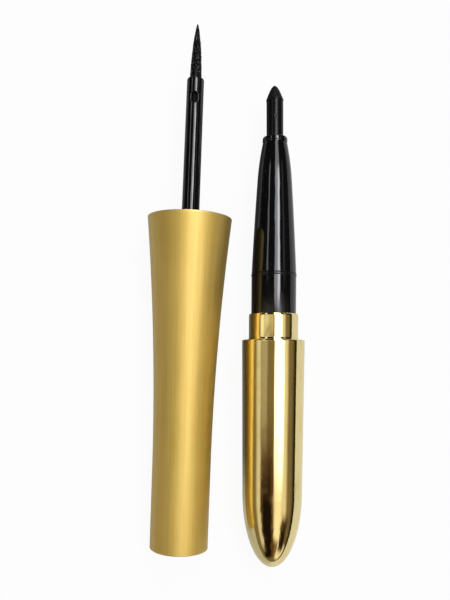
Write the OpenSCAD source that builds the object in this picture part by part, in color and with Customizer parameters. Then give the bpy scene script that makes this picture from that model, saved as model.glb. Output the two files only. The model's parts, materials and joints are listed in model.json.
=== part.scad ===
// Two-ended eyeliner, opened and laid flat: a liquid liner wand on a flared satin handle, and beside it
// the gel pencil that plugs into the handle's narrow end, a twist-up crayon in a bullet-shaped base.
// Each half is drawn along its own axis, which is +Z while it is drawn, and laid down at the end.
// On both halves height 0 is the plane where they meet when the pen is closed: the narrow rim of the
// handle and the shoulder of the bullet. All lengths are in millimetres.

/* [Handle] */
// Outside diameter of the flared mouth
mouth_d = 16.44; // [15.4:0.02:19]
// Length of the flare, from the mouth inwards
flare_length = 49; // [42:1:60]
// Free length inside, between the pencil's socket and the wand's seat
middle_gap = 4.85; // [1:0.05:15]
// Wall of the socket round the pencil's collar
land_wall = 0.31; // [0.25:0.01:0.9]
// Wall of the satin sleeve
sleeve_wall = 0.5; // [0.4:0.05:0.7]
// Outside diameter of the bottle neck that screws into the mouth
neck_d = 9.7; // [8:0.1:10.4]
// Depth of the threaded chamber
chamber_depth = 11.4; // [8:0.1:12]

/* [Wand] */
// How far the stem stands out of the mouth
stem_reach = 26.8; // [20:0.1:34]
// Diameter of the felt tip
felt_d = 2.38; // [1.8:0.02:2.8]
// Bare length of the felt tip
felt_length = 10.5; // [6:0.1:13]
// Wall of the stem round the felt
stem_wall = 0.43; // [0.35:0.01:0.7]
// Draft of the stem, in degrees
stem_draft = 0.15; // [0:0.05:0.4]
// Width of the oval eyelet through the stem
eyelet_width = 1.3; // [0.8:0.05:1.6]
// Length of the eyelet along the stem
eyelet_length = 2.05; // [1.7:0.05:2.6]
// From the stem's end to the middle of the eyelet
eyelet_setback = 4.0; // [2.6:0.1:4.5]

/* [Bullet base] */
// Length of the bullet, from its shoulder to its tip
bullet_length = 45.1; // [43:0.1:55]
// Length of the straight, drafted stretch
bullet_straight = 30.3; // [28:0.1:34]
// Draft of the straight stretch, in degrees
bullet_draft = 0.56; // [0:0.02:1]
// Wall of the gold shell
shell_wall = 0.45; // [0.3:0.05:0.6]
// Wall of the core inside the shell, round the collar's skirt
core_wall = 0.94; // [0.7:0.02:1.5]
// Wall of the narrow collar above the shoulder
collar_wall = 0.35; // [0.3:0.01:0.4]
// Height of the collar above the shoulder
collar_height = 5.15; // [3.5:0.05:7]

/* [Pencil front] */
// Bare height of the black grip tube above the collar
grip_height = 7.85; // [7.5:0.05:10]
// Wall of the grip tube
grip_wall = 0.57; // [0.5:0.01:0.62]
// Length of the nose cone, from the twist seam to its mouth
nose_length = 27; // [25.5:0.1:30]
// Wall of the nose where the straight taper ends
nose_wall = 1.1; // [0.9:0.05:1.3]
// Straight share of the nose cone's length, before it rounds in to the mouth
nose_straight_share = 0.69; // [0.6:0.01:0.75]
// Wall of the lip round the crayon
lip_wall = 0.62; // [0.5:0.01:0.8]

/* [Crayon] */
// Diameter of the gel crayon
lead_d = 3.44; // [3.2:0.02:3.6]
// Whole length of the crayon
lead_length = 34; // [32:0.5:36]
// How far the crayon stands out of the nose
lead_out = 10.3; // [8:0.1:11]
// Height of the crayon's pointed end
lead_point = 2.85; // [2:0.05:3.4]

/* [Twist mechanism] */
// Feed of the crayon for one full turn of the nose
track_pitch = 6; // [5:0.1:7]
// Travel that is left for feeding the crayon further out
advance_travel = 14.5; // [13:0.1:15]
// Diameter of the two lugs that ride in the track
lug_d = 1; // [0.8:0.05:1.1]
// Depth of the spiral track
track_depth = 0.52; // [0.45:0.01:0.6]

/* [Laid on the table] */
// Sideways distance from the handle's narrow end to the bullet's mouth
pair_spacing = 18.85; // [17:0.05:30]
// How far the bullet's mouth lies ahead of the handle's narrow end
pair_shift = 41.3; // [30:0.1:45]
// Angle in the table's plane that the wand leans to the right, in degrees
wand_yaw = 2.1; // [0:0.05:2.6]
// Angle in the table's plane that the pencil leans to the right, in degrees
pencil_yaw = 0.42; // [0:0.02:1]

/* [Hidden] */

// Clearances and overruns
press_gap = 0.05;      // pieces that are pushed or glued together
run_gap = 0.08;        // pieces that turn or slide in each other
burr_gap = 0.04;       // the crayon's rim in the mouth of the nose
end_gap = 0.4;         // room at the end of a stroke or a blind seat
seam_gap = 0.08;       // open line between the nose and the grip tube
overrun = 0.5;         // how far a cut runs past what it cuts

// Edges
sleeve_rim_r = 0.18;
bullet_rim_r = 0.22;
collar_rim_r = 0.3;
lip_r = 0.28;
stem_end_r = 0.4;

// Counts of straight steps in the curved outlines
flare_steps = 24;
tip_steps = 20;
shoulder_steps = 8;
round_steps = 4;
point_steps = 10;

// Radii of the twist mechanism, from the crayon outwards
lead_r = lead_d / 2;
lead_burr = 0.11;
lead_dome_r = 0.62;
lead_dome_angle = 27;
cup_gap = 0.02;
cup_wall = 0.48;
guide_wall = 0.45;
spiral_wall = 0.5;
carrier_bore = lead_r + cup_gap;
carrier_r = carrier_bore + cup_wall;
guide_bore = carrier_r + run_gap;
guide_r = guide_bore + guide_wall;
track_bore = guide_r + run_gap;
track_r = track_bore + track_depth;
spiral_r = track_r + spiral_wall;
grip_bore = spiral_r + press_gap;
grip_r = grip_bore + grip_wall;
collar_bore = grip_r + press_gap;
collar_r = collar_bore + collar_wall;
collar_skirt_step = 0.16;
collar_skirt_r = collar_r - collar_skirt_step;
bullet_bore = collar_skirt_r + press_gap;
bullet_mouth_r = bullet_bore + core_wall + press_gap + shell_wall;

// Heights along the pencil
seam_z = collar_height + grip_height;
nose_mouth_z = seam_z + nose_length;
lead_tip_z = nose_mouth_z + lead_out;
lead_rear_z = lead_tip_z - lead_length;
cup_depth = 4;
cup_floor = 1;
cup_top_z = lead_rear_z + cup_depth;
cup_base_z = lead_rear_z - cup_floor - cup_gap;
carrier_stop_z = cup_top_z + advance_travel + end_gap;
retract_inside = 0.2;
retract_travel = lead_out + retract_inside;

// The nose's spigot, its seal ring and its snap bead
spigot_length = 7.3;
spigot_r = grip_bore - run_gap;
spigot_base_z = seam_z - spigot_length;
ring_section_r = 0.3;
ring_setback = 3;
ring_z = seam_z - ring_setback;
ring_groove_width = 0.7;
ring_squeeze_gap = 0.02;
ring_r = grip_bore - ring_squeeze_gap - ring_section_r;
ring_groove_r = ring_r - ring_section_r - ring_squeeze_gap;
snap_setback = 5.5;
snap_z = seam_z - snap_setback;
snap_height = 0.8;
snap_rise = 0.13;

// The spiral track
track_starts = 2;
track_side_gap = 0.15;
track_lead_in = 1.6;
spiral_top_z = spigot_base_z - end_gap;
lug_z = spiral_top_z - track_lead_in - advance_travel;
spiral_base_z = lug_z - retract_travel - track_lead_in;
track_mean_r = (track_bore + track_r) / 2;
track_slope = atan(track_pitch / (2 * PI * track_mean_r));
track_width = (lug_d + 2 * track_side_gap) / cos(track_slope);
track_angle = 360 * track_width / track_pitch;
track_turns = (spiral_top_z - spiral_base_z) / track_pitch;
track_steps_per_turn = 14;
spiral_facets = 20;
lug_tip_gap = 0.12;
carrier_rod_step = 0.6;
carrier_rod_r = carrier_r - carrier_rod_step;
lug_hub_height = 2.4;

// The slotted guide
guide_head = 7.6;
guide_base_z = spiral_base_z + end_gap;
guide_top_z = spigot_base_z + guide_head;
slot_width = lug_d + 2 * run_gap;
slot_base_z = lug_z - retract_travel - lug_d / 2 - run_gap;
slot_top_z = lug_z + advance_travel + lug_d / 2 + run_gap;

// The tail of the pencil
tail_depth = 2;
tail_flange = 0.8;
grip_base_z = spiral_base_z - end_gap - tail_depth;
bullet_floor_z = grip_base_z - tail_flange - end_gap;
floor_step = 0.3;
collar_tail = 8;
bead_rise = 0.07;
bead_height = 0.35;

// The nose cone's outside
nose_step = 0.05;
nose_bow = 0.05;
nose_base_r = grip_r - nose_step;
nose_base_z = seam_z + seam_gap;
nose_shoulder_r = guide_bore + nose_wall;
nose_shoulder_z = seam_z + nose_straight_share * nose_length;
lead_bore = lead_r + lead_burr + burr_gap;
lip_outer_r = lead_bore + lip_wall;
lip_height = 1;
lip_step = 0.03;
nose_neck_r = lip_outer_r - lip_step;
nose_neck_z = nose_mouth_z - lip_height;

// The socket in the handle's narrow end
socket_recess = 0.4;
land_r = collar_r + press_gap;
land_z = collar_height + end_gap;
socket_r = grip_r + bead_rise + run_gap;
socket_taper_gap = 1;
socket_straight_z = seam_z + socket_taper_gap;
socket_wall = 0.6;
socket_stay = 1.6;

// The soft cup that closes over the nose
seal_wall = 0.5;
seal_length = 7.4;
seal_lip = 0.25;
seal_overlap = 4.6;
seal_clearance = 0.2;
seal_z = nose_mouth_z - seal_overlap;
seal_seat_r = nose_shoulder_r + seal_clearance;
seal_r = seal_seat_r - press_gap;
seal_top_z = seal_z + seal_length;
seal_floor = 0.9;
socket_floor = 1.1;
socket_top_z = seal_top_z + press_gap + socket_floor;

// The liner in the mouth and its stem seat
mouth_recess = 0.5;
liner_wall = 0.9;
liner_floor = 1.4;
liner_flange = 1.1;
boss_height = 3;
boss_wall = 1.2;
thread_gap = 0.1;
thread_r = neck_d / 2 + thread_gap;
boss_z = socket_top_z + middle_gap;
liner_base_z = boss_z + boss_height;
chamber_z = liner_base_z + liner_floor;
liner_top_z = chamber_z + chamber_depth;
rib_count = 6;
rib_width = 0.8;

// The sleeve round both: straight over the socket, then a flare to the mouth
sleeve_length = liner_top_z + mouth_recess;
sleeve_r = land_r + land_wall + press_gap + sleeve_wall;
mouth_r = mouth_d / 2;
flare_start_z = sleeve_length - flare_length;
flare_rise = mouth_r - sleeve_r;
flare_r = (pow(flare_length, 2) + pow(flare_rise, 2)) / (2 * flare_rise);

// The stem and the felt
felt_r = felt_d / 2;
felt_gap = 0.02;
stem_tip_r = felt_r + felt_gap + stem_wall;
stem_tip_z = sleeve_length + stem_reach;
stem_root_z = boss_z + end_gap;
felt_root = 6.4;
felt_tip_z = stem_tip_z + felt_length;
stem_flange_r = 2.7;
stem_flange = 0.8;
stem_bead_rise = 0.2;
stem_bead_height = 0.9;
stem_bead_cover = 1.6;
stem_seat_z = liner_base_z - stem_bead_cover;

// The gasket under the bottle's lip
gasket_height = 0.8;
gasket_gap = 0.3;
gasket_bore = stem_flange_r + gasket_gap;

// The bullet's tip
bullet_side_r = bullet_mouth_r - bullet_straight * tan(bullet_draft);
bullet_tip_length = bullet_length - bullet_straight;

// How the halves lie: each one's axis rises towards the end that is thicker
wand_pitch = atan(flare_rise / (sleeve_length - 2 * sleeve_rim_r));
pencil_pitch = bullet_draft;
wand_axis = [sin(wand_yaw) * cos(wand_pitch), cos(wand_yaw) * cos(wand_pitch), sin(wand_pitch)];
pencil_axis = [sin(pencil_yaw) * cos(pencil_pitch), cos(pencil_yaw) * cos(pencil_pitch), sin(pencil_pitch)];
wand_height = (sleeve_r - sleeve_rim_r) * cos(wand_pitch) + sleeve_rim_r - sleeve_rim_r * sin(wand_pitch);
pencil_height = bullet_mouth_r / cos(pencil_pitch);

// Outermost places of the pair, which put the origin in the middle of its footprint
wide_x = sleeve_length * wand_axis.x;
left_x = min(-sleeve_r, wide_x - mouth_r);
right_x = pair_spacing + bullet_mouth_r;
front_y = min(pair_shift - bullet_length * pencil_axis.y, -sleeve_r * sin(wand_yaw));
back_y = max(felt_tip_z * wand_axis.y, pair_shift + lead_tip_z * pencil_axis.y);
middle = [(left_x + right_x) / 2, (front_y + back_y) / 2];
wand_place = [-middle.x, -middle.y, wand_height];
pencil_place = [pair_spacing - middle.x, pair_shift - middle.y, pencil_height];

$fn = 96;

// Points on an arc about [x, z], from one angle to another
function arc(x, z, r, from, to, steps) =
    [for (i = [0:steps]) let (a = from + (to - from) * i / steps) [x + r * cos(a), z + r * sin(a)]];

// Outside radius of the sleeve at a height: straight, then a tangent arc that opens to the mouth
function sleeve_outside(z) = z <= flare_start_z
    ? sleeve_r
    : sleeve_r + flare_r - sqrt(pow(flare_r, 2) - pow(z - flare_start_z, 2));

// Inside radius of the sleeve, less the gap for a piece that is pushed into it
function sleeve_seat(z) = sleeve_outside(z) - sleeve_wall - press_gap;

// Points of the sleeve's outside, moved inwards by a wall
function flare_points(wall, from, to) = [for (i = [0:flare_steps])
    let (z = from + (to - from) * i / flare_steps) [sleeve_outside(z) - wall, z]];

// Radius of the drafted stem at a height
function stem_radius(z) = stem_tip_r + (stem_tip_z - z) * tan(stem_draft);

// The same list, last point first
function reversed(points) = [for (i = [len(points) - 1:-1:0]) points[i]];

// Outside radius of the bullet's drafted side at a height
function bullet_side(z) = bullet_mouth_r + z * tan(bullet_draft);

// Points of the bullet's tip, half an ellipse, moved inwards by a wall, from the side to the axis
function tip_points(wall) = [for (i = [0:tip_steps]) let (a = 90 * i / tip_steps)
    [(bullet_side_r - wall) * cos(a), -bullet_straight - (bullet_tip_length - wall) * sin(a)]];

module revolve(points) {
    rotate_extrude() polygon(points);
}

module tube(outer, bore, from, to) {
    translate([0, 0, from]) difference() {
        cylinder(r = outer, h = to - from);
        translate([0, 0, -overrun]) cylinder(r = bore, h = to - from + 2 * overrun);
    }
}

module rod(radius, from, to) {
    translate([0, 0, from]) cylinder(r = radius, h = to - from);
}

// Lays a half on the table: its axis turns from +Z to +Y, rises by its pitch and leans by its yaw
module lay(place, pitch, yaw) {
    translate(place) rotate([pitch - 90, 0, -yaw]) children();
}

module lay_wand() {
    lay(wand_place, wand_pitch, wand_yaw) children();
}

module lay_pencil() {
    lay(pencil_place, pencil_pitch, pencil_yaw) children();
}

// Flared sleeve of satin gold, open at both ends
module handle_sleeve() {
    color("darkgoldenrod") lay_wand() revolve(concat(
        [[sleeve_r - sleeve_wall, 0]],
        arc(sleeve_r - sleeve_rim_r, sleeve_rim_r, sleeve_rim_r, -90, 0, round_steps),
        flare_points(0, flare_start_z, sleeve_length - sleeve_rim_r),
        arc(mouth_r - sleeve_rim_r, sleeve_length - sleeve_rim_r, sleeve_rim_r, 0, 90, round_steps),
        reversed(flare_points(sleeve_wall, flare_start_z, sleeve_length))));
}

// Sleeve inside the narrow end: a land for the pencil's collar, a bore for its grip, a taper for its nose,
// and a ring at the blind end that centres it in the flare
module socket_liner() {
    stay_z = socket_top_z - socket_stay;
    color("dimgray") lay_wand() union() {
        difference() {
            union() {
                rod(sleeve_seat(0), socket_recess, socket_straight_z);
                revolve([[0, socket_straight_z], [sleeve_seat(0), socket_straight_z],
                    [seal_seat_r + socket_wall, seal_z], [seal_seat_r + socket_wall, socket_top_z],
                    [0, socket_top_z]]);
            }
            rod(land_r, socket_recess - overrun, land_z);
            rod(socket_r, socket_recess, socket_straight_z);
            revolve([[0, socket_straight_z - press_gap], [socket_r, socket_straight_z - press_gap],
                [socket_r, socket_straight_z], [seal_seat_r, seal_z],
                [seal_seat_r, socket_top_z - socket_floor], [0, socket_top_z - socket_floor]]);
        }
        revolve([[seal_seat_r + socket_wall / 2, stay_z], [sleeve_seat(stay_z), stay_z],
            [sleeve_seat(stay_z), socket_top_z], [seal_seat_r + socket_wall / 2, socket_top_z]]);
    }
}

// Soft cup at the blind end of the socket, which closes over the nose and keeps the gel from drying
module seal_cup() {
    mouth_gap = seal_wall - seal_lip;
    color("lightgray") lay_wand() revolve([
        [seal_r - seal_lip, seal_z], [seal_r, seal_z + seal_lip], [seal_r, seal_top_z], [0, seal_top_z],
        [0, seal_top_z - seal_floor], [lip_outer_r + mouth_gap, seal_top_z - seal_floor],
        [lip_outer_r + mouth_gap, nose_mouth_z], [seal_r - seal_wall, seal_z + seal_lip]]);
}

// Liner in the flared mouth: threaded chamber for the bottle's neck, floor, ribs, and boss for the stem
module wand_liner() {
    flange_z = liner_top_z - liner_flange;
    cup_r = thread_r + liner_wall;
    boss_bore = stem_radius(liner_base_z) + press_gap;
    color([0.1, 0.1, 0.11]) lay_wand() difference() {
        union() {
            rod(cup_r, liner_base_z, liner_top_z);
            revolve([[0, liner_base_z], [sleeve_seat(liner_base_z), liner_base_z],
                [sleeve_seat(liner_base_z), chamber_z], [0, chamber_z]]);
            revolve([[0, flange_z], [sleeve_seat(flange_z), flange_z],
                [sleeve_seat(flange_z), liner_top_z], [0, liner_top_z]]);
            rod(boss_bore + boss_wall, boss_z, liner_base_z + liner_floor / 2);
            for (i = [0:rib_count - 1]) rotate([0, 0, i * 360 / rib_count])
                translate([cup_r - liner_wall / 2, -rib_width / 2, chamber_z - liner_floor / 2])
                    cube([sleeve_seat(liner_base_z) - cup_r + liner_wall / 2, rib_width,
                        flange_z - chamber_z + liner_floor]);
        }
        rod(thread_r, chamber_z, liner_top_z + overrun);
        rod(boss_bore, stem_seat_z - overrun, chamber_z + overrun);
        rod(boss_bore + stem_bead_rise + press_gap, boss_z - overrun, stem_seat_z);
    }
}

// Foam ring on the chamber's floor, which the bottle's lip presses
module neck_gasket() {
    color("whitesmoke") lay_wand()
        tube(thread_r - press_gap, gasket_bore, chamber_z + felt_gap, chamber_z + felt_gap + gasket_height);
}

// Moulded stem: root with a snap bead, seat flange, drafted shaft, eyelet, and a socket for the felt
module wand_stem() {
    bead_z = stem_seat_z - felt_gap - stem_bead_height;
    felt_z = stem_tip_z - felt_root - end_gap;
    oval = (eyelet_length - eyelet_width) / 2;
    color([0.06, 0.06, 0.065]) lay_wand() difference() {
        union() {
            revolve(concat(
                [[0, stem_root_z], [stem_radius(stem_seat_z), stem_root_z],
                    [stem_radius(stem_seat_z), chamber_z], [stem_radius(chamber_z), chamber_z]],
                arc(stem_tip_r - stem_end_r, stem_tip_z - stem_end_r, stem_end_r, 0, 90, round_steps),
                [[0, stem_tip_z]]));
            rod(stem_flange_r, chamber_z + felt_gap, chamber_z + felt_gap + stem_flange);
            rod(stem_radius(stem_seat_z) + stem_bead_rise, bead_z, bead_z + stem_bead_height);
        }
        rod(felt_r + felt_gap, felt_z, stem_tip_z + overrun);
        translate([0, 0, stem_tip_z - eyelet_setback]) rotate([90, 0, 0])
            for (side = [-1, 1]) translate([0, side * oval, 0])
                cylinder(d = eyelet_width, h = 2 * stem_tip_r + 2 * overrun, center = true);
        translate([-eyelet_width / 2, -stem_tip_r - overrun, stem_tip_z - eyelet_setback - oval])
            cube([eyelet_width, 2 * stem_tip_r + 2 * overrun, 2 * oval]);
    }
}

// Felt nib: a round root behind the eyelet and a long tangent point
module felt_tip() {
    nib_r = (pow(felt_length, 2) + pow(felt_r, 2)) / (2 * felt_r);
    color([0.08, 0.08, 0.08]) lay_wand() revolve(concat(
        [[0, stem_tip_z - felt_root], [felt_r, stem_tip_z - felt_root]],
        arc(felt_r - nib_r, stem_tip_z, nib_r, 0, asin(felt_length / nib_r), point_steps)));
}

// Drawn bullet of mirror gold, with its edge turned in over the core to make the shoulder
module bullet_shell() {
    color("gold") lay_pencil() difference() {
        revolve(concat(
            [[0, 0]],
            arc(bullet_mouth_r - bullet_rim_r, -bullet_rim_r, bullet_rim_r, 90, 0, round_steps),
            tip_points(0)));
        rod(bullet_bore, -shell_wall - overrun, overrun);
        revolve(concat(
            [[0, -shell_wall], [bullet_side(-shell_wall) - shell_wall, -shell_wall]],
            tip_points(shell_wall)));
    }
}

// Core of the bullet: bored for the collar's skirt and for the grip tube, and hollow to the tip
module bullet_core() {
    outset = shell_wall + press_gap;
    floor_z = min(bullet_floor_z, -collar_tail - end_gap);
    inset = bullet_side_r - collar_bore + floor_step;
    color([0.12, 0.12, 0.13]) lay_pencil() difference() {
        revolve(concat([[0, -outset], [bullet_side(-outset) - outset, -outset]], tip_points(outset)));
        rod(bullet_bore, -collar_tail - end_gap, overrun);
        rod(collar_bore, floor_z, -collar_tail);
        revolve(concat([[0, floor_z + overrun], [bullet_side_r - inset, floor_z + overrun]], tip_points(inset)));
    }
}

// Narrow mirror ring that the handle's end slides over, with a skirt that is pressed into the bullet
module collar_ring() {
    color("gold") lay_pencil() revolve(concat(
        [[collar_bore, -collar_tail], [collar_skirt_r, -collar_tail], [collar_skirt_r, 0], [collar_r, 0]],
        arc(collar_r - collar_rim_r, collar_height - collar_rim_r, collar_rim_r, 0, 90, round_steps),
        [[collar_bore, collar_height]]));
}

// Black tube that carries the mechanism, with a bead at the twist seam and a groove for the nose's snap
module grip_sleeve() {
    color([0.05, 0.05, 0.055]) lay_pencil() difference() {
        union() {
            rod(grip_r, grip_base_z, seam_z);
            rod(grip_r + bead_rise, seam_z - bead_height, seam_z);
        }
        rod(grip_bore, grip_base_z - overrun, seam_z + overrun);
        rod(grip_bore + snap_rise, snap_z - snap_height / 2 - run_gap, snap_z + snap_height / 2 + run_gap);
    }
}

// Section of the spiral sleeve: a ring with a notch for each start of the track
module spiral_section() {
    half_notch = track_angle / 2;
    difference() {
        circle(r = spiral_r, $fn = spiral_facets);
        circle(r = track_bore / cos(180 / spiral_facets), $fn = spiral_facets);
        for (i = [0:track_starts - 1]) rotate(i * 360 / track_starts)
            polygon(concat([[0, 0]], arc(0, 0, track_r, -half_notch, half_notch, round_steps)));
    }
}

// Sleeve with a two-start spiral track inside, which drives the lugs of the carrier along the slots
module spiral_sleeve() {
    turned = 360 * (lug_z - spiral_base_z) / track_pitch;
    color("white") lay_pencil() translate([0, 0, spiral_base_z]) rotate([0, 0, turned])
        linear_extrude(height = spiral_top_z - spiral_base_z, twist = 360 * track_turns,
            slices = ceil(track_turns * track_steps_per_turn), $fn = spiral_facets) spiral_section();
}

// Plug that closes the tail of the grip tube behind the mechanism
module tail_plug() {
    color("white") lay_pencil() union() {
        rod(grip_bore - press_gap, grip_base_z - tail_flange / 2, grip_base_z + tail_depth);
        rod(grip_r, grip_base_z - tail_flange, grip_base_z - press_gap);
    }
}

// Nose cone: slightly bowed taper, rounded shoulder and lip, over a spigot with a seal groove and a snap bead
module nose_cone() {
    taper = [nose_shoulder_r - nose_base_r, nose_shoulder_z - nose_base_z];
    bow_r = pow(norm(taper), 2) / (8 * nose_bow);
    bow_angle = asin(norm(taper) / (2 * bow_r));
    taper_angle = atan(-taper.x / taper.y);
    bow_middle = [nose_base_r, nose_base_z]
        - bow_r * [cos(taper_angle - bow_angle), sin(taper_angle - bow_angle)];
    start_angle = taper_angle + bow_angle;
    chord = [nose_neck_r - nose_shoulder_r, nose_neck_z - nose_shoulder_z];
    turn = atan(-chord.x / chord.y) - start_angle;
    shoulder_r = norm(chord) / (2 * sin(turn));
    shoulder_middle = [nose_shoulder_r, nose_shoulder_z] - shoulder_r * [cos(start_angle), sin(start_angle)];
    color([0.04, 0.04, 0.045]) lay_pencil() difference() {
        union() {
            revolve(concat(
                [[0, nose_base_z]],
                arc(bow_middle.x, bow_middle.y, bow_r, taper_angle - bow_angle, start_angle, shoulder_steps),
                arc(shoulder_middle.x, shoulder_middle.y, shoulder_r, start_angle, start_angle + 2 * turn,
                    shoulder_steps),
                [[lip_outer_r, nose_neck_z + lip_step]],
                arc(lip_outer_r - lip_r, nose_mouth_z - lip_r, lip_r, 0, 90, round_steps),
                [[0, nose_mouth_z]]));
            rod(spigot_r, spigot_base_z, nose_base_z + seam_gap);
            rod(grip_bore + snap_rise - run_gap, snap_z - snap_height / 2, snap_z + snap_height / 2);
        }
        rod(lead_bore, carrier_stop_z - overrun, nose_mouth_z + overrun);
        rod(guide_bore, spigot_base_z - overrun, carrier_stop_z);
        rod(guide_r + press_gap, spigot_base_z - overrun, guide_top_z + press_gap);
        tube(grip_bore, ring_groove_r, ring_z - ring_groove_width / 2, ring_z + ring_groove_width / 2);
    }
}

// Slotted tube that turns with the nose and makes the carrier turn with it
module guide_tube() {
    color("white") lay_pencil() difference() {
        tube(guide_r, guide_bore, guide_base_z, guide_top_z);
        translate([-guide_r - overrun, -slot_width / 2, slot_base_z])
            cube([2 * guide_r + 2 * overrun, slot_width, slot_top_z - slot_base_z]);
    }
}

// Rubber ring that gives the twist its drag
module twist_o_ring() {
    color("dimgray") lay_pencil() translate([0, 0, ring_z])
        rotate_extrude() translate([ring_r, 0]) circle(r = ring_section_r, $fn = 24);
}

// Carrier: cup that grips the crayon's end, rod, and a hub with two round lugs in the track
module lead_carrier() {
    hub_base_z = lug_z - lug_hub_height / 2;
    lug_reach = track_r - lug_tip_gap;
    color("white") lay_pencil() union() {
        tube(carrier_r, carrier_bore, cup_base_z + cup_floor, cup_top_z);
        rod(carrier_r, cup_base_z, cup_base_z + cup_floor);
        rod(carrier_rod_r, hub_base_z, cup_base_z + cup_floor / 2);
        rod(carrier_r, hub_base_z, hub_base_z + lug_hub_height);
        translate([0, 0, lug_z]) rotate([0, 90, 0]) cylinder(d = lug_d, h = 2 * lug_reach, center = true);
    }
}

// Gel crayon: round stick and a domed point whose cut edge stands a little proud
module gel_lead() {
    point_z = lead_tip_z - lead_point;
    burr_r = lead_r + lead_burr;
    dome_z = lead_tip_z - lead_dome_r;
    color([0.12, 0.12, 0.12]) lay_pencil() revolve(concat(
        [[0, lead_rear_z], [lead_r, lead_rear_z], [lead_r, point_z - 2 * lead_burr],
            [burr_r, point_z - lead_burr / 2], [burr_r, point_z]],
        arc(0, dome_z, lead_dome_r, lead_dome_angle, 90, round_steps)));
}

handle_sleeve();
socket_liner();
seal_cup();
wand_liner();
neck_gasket();
wand_stem();
felt_tip();
bullet_shell();
bullet_core();
collar_ring();
grip_sleeve();
spiral_sleeve();
tail_plug();
nose_cone();
guide_tube();
twist_o_ring();
lead_carrier();
gel_lead();
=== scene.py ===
"""Dressed scene of an opened two-ended eyeliner, laid flat.

On the left lies the liquid liner's wand on its flared satin handle, on the right the twist-up gel pencil in
its bullet-shaped base. Sizes are in millimetres. A name that ends in _r is a radius, and one that ends in
_z a height along the half's own axis, which is 0 where the halves meet when the pen is closed. A corner of
an outline is its radius, its height and how much is cut off it. A pattern is how dense it is across and
along its piece, and its detail. Meshes are in metres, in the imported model's frame.
"""

import json
import logging
import math
from abc import ABC, abstractmethod
from dataclasses import dataclass
from enum import Enum
from functools import cache, reduce

import bmesh
import bpy
import numpy as np
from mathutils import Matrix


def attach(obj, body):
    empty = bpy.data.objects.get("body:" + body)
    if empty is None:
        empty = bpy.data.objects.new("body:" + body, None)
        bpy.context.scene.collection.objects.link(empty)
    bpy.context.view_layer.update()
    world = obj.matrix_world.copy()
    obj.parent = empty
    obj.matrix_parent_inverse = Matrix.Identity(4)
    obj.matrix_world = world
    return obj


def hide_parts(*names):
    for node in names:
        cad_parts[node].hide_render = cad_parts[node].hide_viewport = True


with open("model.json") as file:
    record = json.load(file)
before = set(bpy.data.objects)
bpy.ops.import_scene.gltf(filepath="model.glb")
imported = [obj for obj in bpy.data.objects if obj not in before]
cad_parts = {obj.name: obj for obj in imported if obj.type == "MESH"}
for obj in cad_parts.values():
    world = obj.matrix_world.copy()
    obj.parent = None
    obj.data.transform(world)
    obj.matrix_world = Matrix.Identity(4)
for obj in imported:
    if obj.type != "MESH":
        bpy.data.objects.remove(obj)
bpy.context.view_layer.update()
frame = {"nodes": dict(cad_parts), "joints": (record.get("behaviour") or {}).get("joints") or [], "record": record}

LOG = logging.getLogger("eyeliner")
MM = 0.001
TAU = 2 * math.pi
WHITE = (1.0, 1.0, 1.0)
# Columns round most pieces, round the felt and the crayon, and round the gasket
COLUMNS = 192
GRAINY_COLUMNS = 160
GASKET_COLUMNS = 128
# Gaps under a piece that is seated and round one that is pushed in
SEAT_GAP = 0.02
PUSH_GAP = 0.05
# Points of an outline nearer than this are one, and points this near a line lie on it
SAME_POINT = 1e-6
ON_LINE = 1e-3
# A row whose points lie within this many metres is a pole
POLE = 1e-12
# Standard deviations that the range of a random relief takes in
RELIEF_DEVIATIONS = 5
# Share of a speck's radius that is full, and how softly the choice of cells cuts off
SPECK_CORE = 0.7
SPECK_CHOICE = 0.01

Number = float | int
Span = tuple[float, float]
Pattern = tuple[float, float, float]
Colour = tuple[float, float, float]
Corners = list[tuple[float, float, float]] | np.ndarray
Settings = dict[str, object]
Sockets = dict[str | int, object]


class Body(Enum):
    """The bodies that the pieces ride on."""

    HANDLE = "handle"
    PENCIL = "pencil"
    NOSE = "nose"
    LEAD = "lead"


class Slot(Enum):
    """The record's material slots."""

    SATIN_GOLD = "satin_gold"
    MIRROR_GOLD = "mirror_gold"
    GLOSS_BLACK = "gloss_black"
    BLACK_LINER = "black_liner"
    BLACK_FELT = "black_felt"
    GEL_BLACK = "gel_black"
    WHITE_ACETAL = "white_acetal"
    SOFT_SEAL = "soft_seal"
    WHITE_FOAM = "white_foam"
    RING_RUBBER = "o_ring_rubber"


# Outlines


def unit(vectors: np.ndarray) -> np.ndarray:
    """Each vector over its length, or zero where it has none."""
    length = np.linalg.norm(vectors, axis=-1, keepdims=True)
    return vectors / np.where(length > 0, length, 1)


def rounded(corners: Corners, ring: bool = False, steps: int = 6) -> np.ndarray:
    """Outline of (radius, height) points with its corners rounded.

    The curve leaves its side a cut A before the corner C and joins the next side a cut B after it, as
    (1 - t)^2 A + 2 t (1 - t) C + t^2 B. One more point half a cut further out on each side keeps the
    shading of the sides flat.

    Args:
        corners: the corners.
        ring: whether the last corner joins the first.
        steps: straight steps in each curve.

    Returns:
        The points of the outline, two columns.
    """
    table = np.asarray(corners, float)
    here, cut = table[:, :2], table[:, 2:]
    before, after = np.roll(here, 1, axis=0), np.roll(here, -1, axis=0)
    if not ring:
        before[0], after[-1] = here[0], here[-1]
    back, on = unit(before - here), unit(after - here)
    t = np.linspace(0, 1, steps + 1)[None, :, None]
    leave, join = (here + cut * back)[:, None], (here + cut * on)[:, None]
    curve = (1 - t) ** 2 * leave + 2 * t * (1 - t) * here[:, None] + t**2 * join
    guards = (leave + 0.5 * (cut * back)[:, None], join + 0.5 * (cut * on)[:, None])
    points = np.concatenate((guards[0], curve, guards[1]), axis=1).reshape(-1, 2)
    moved = np.linalg.norm(np.diff(points, axis=0, prepend=points[:1] - 1), axis=1) > SAME_POINT
    return points[moved]


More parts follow.
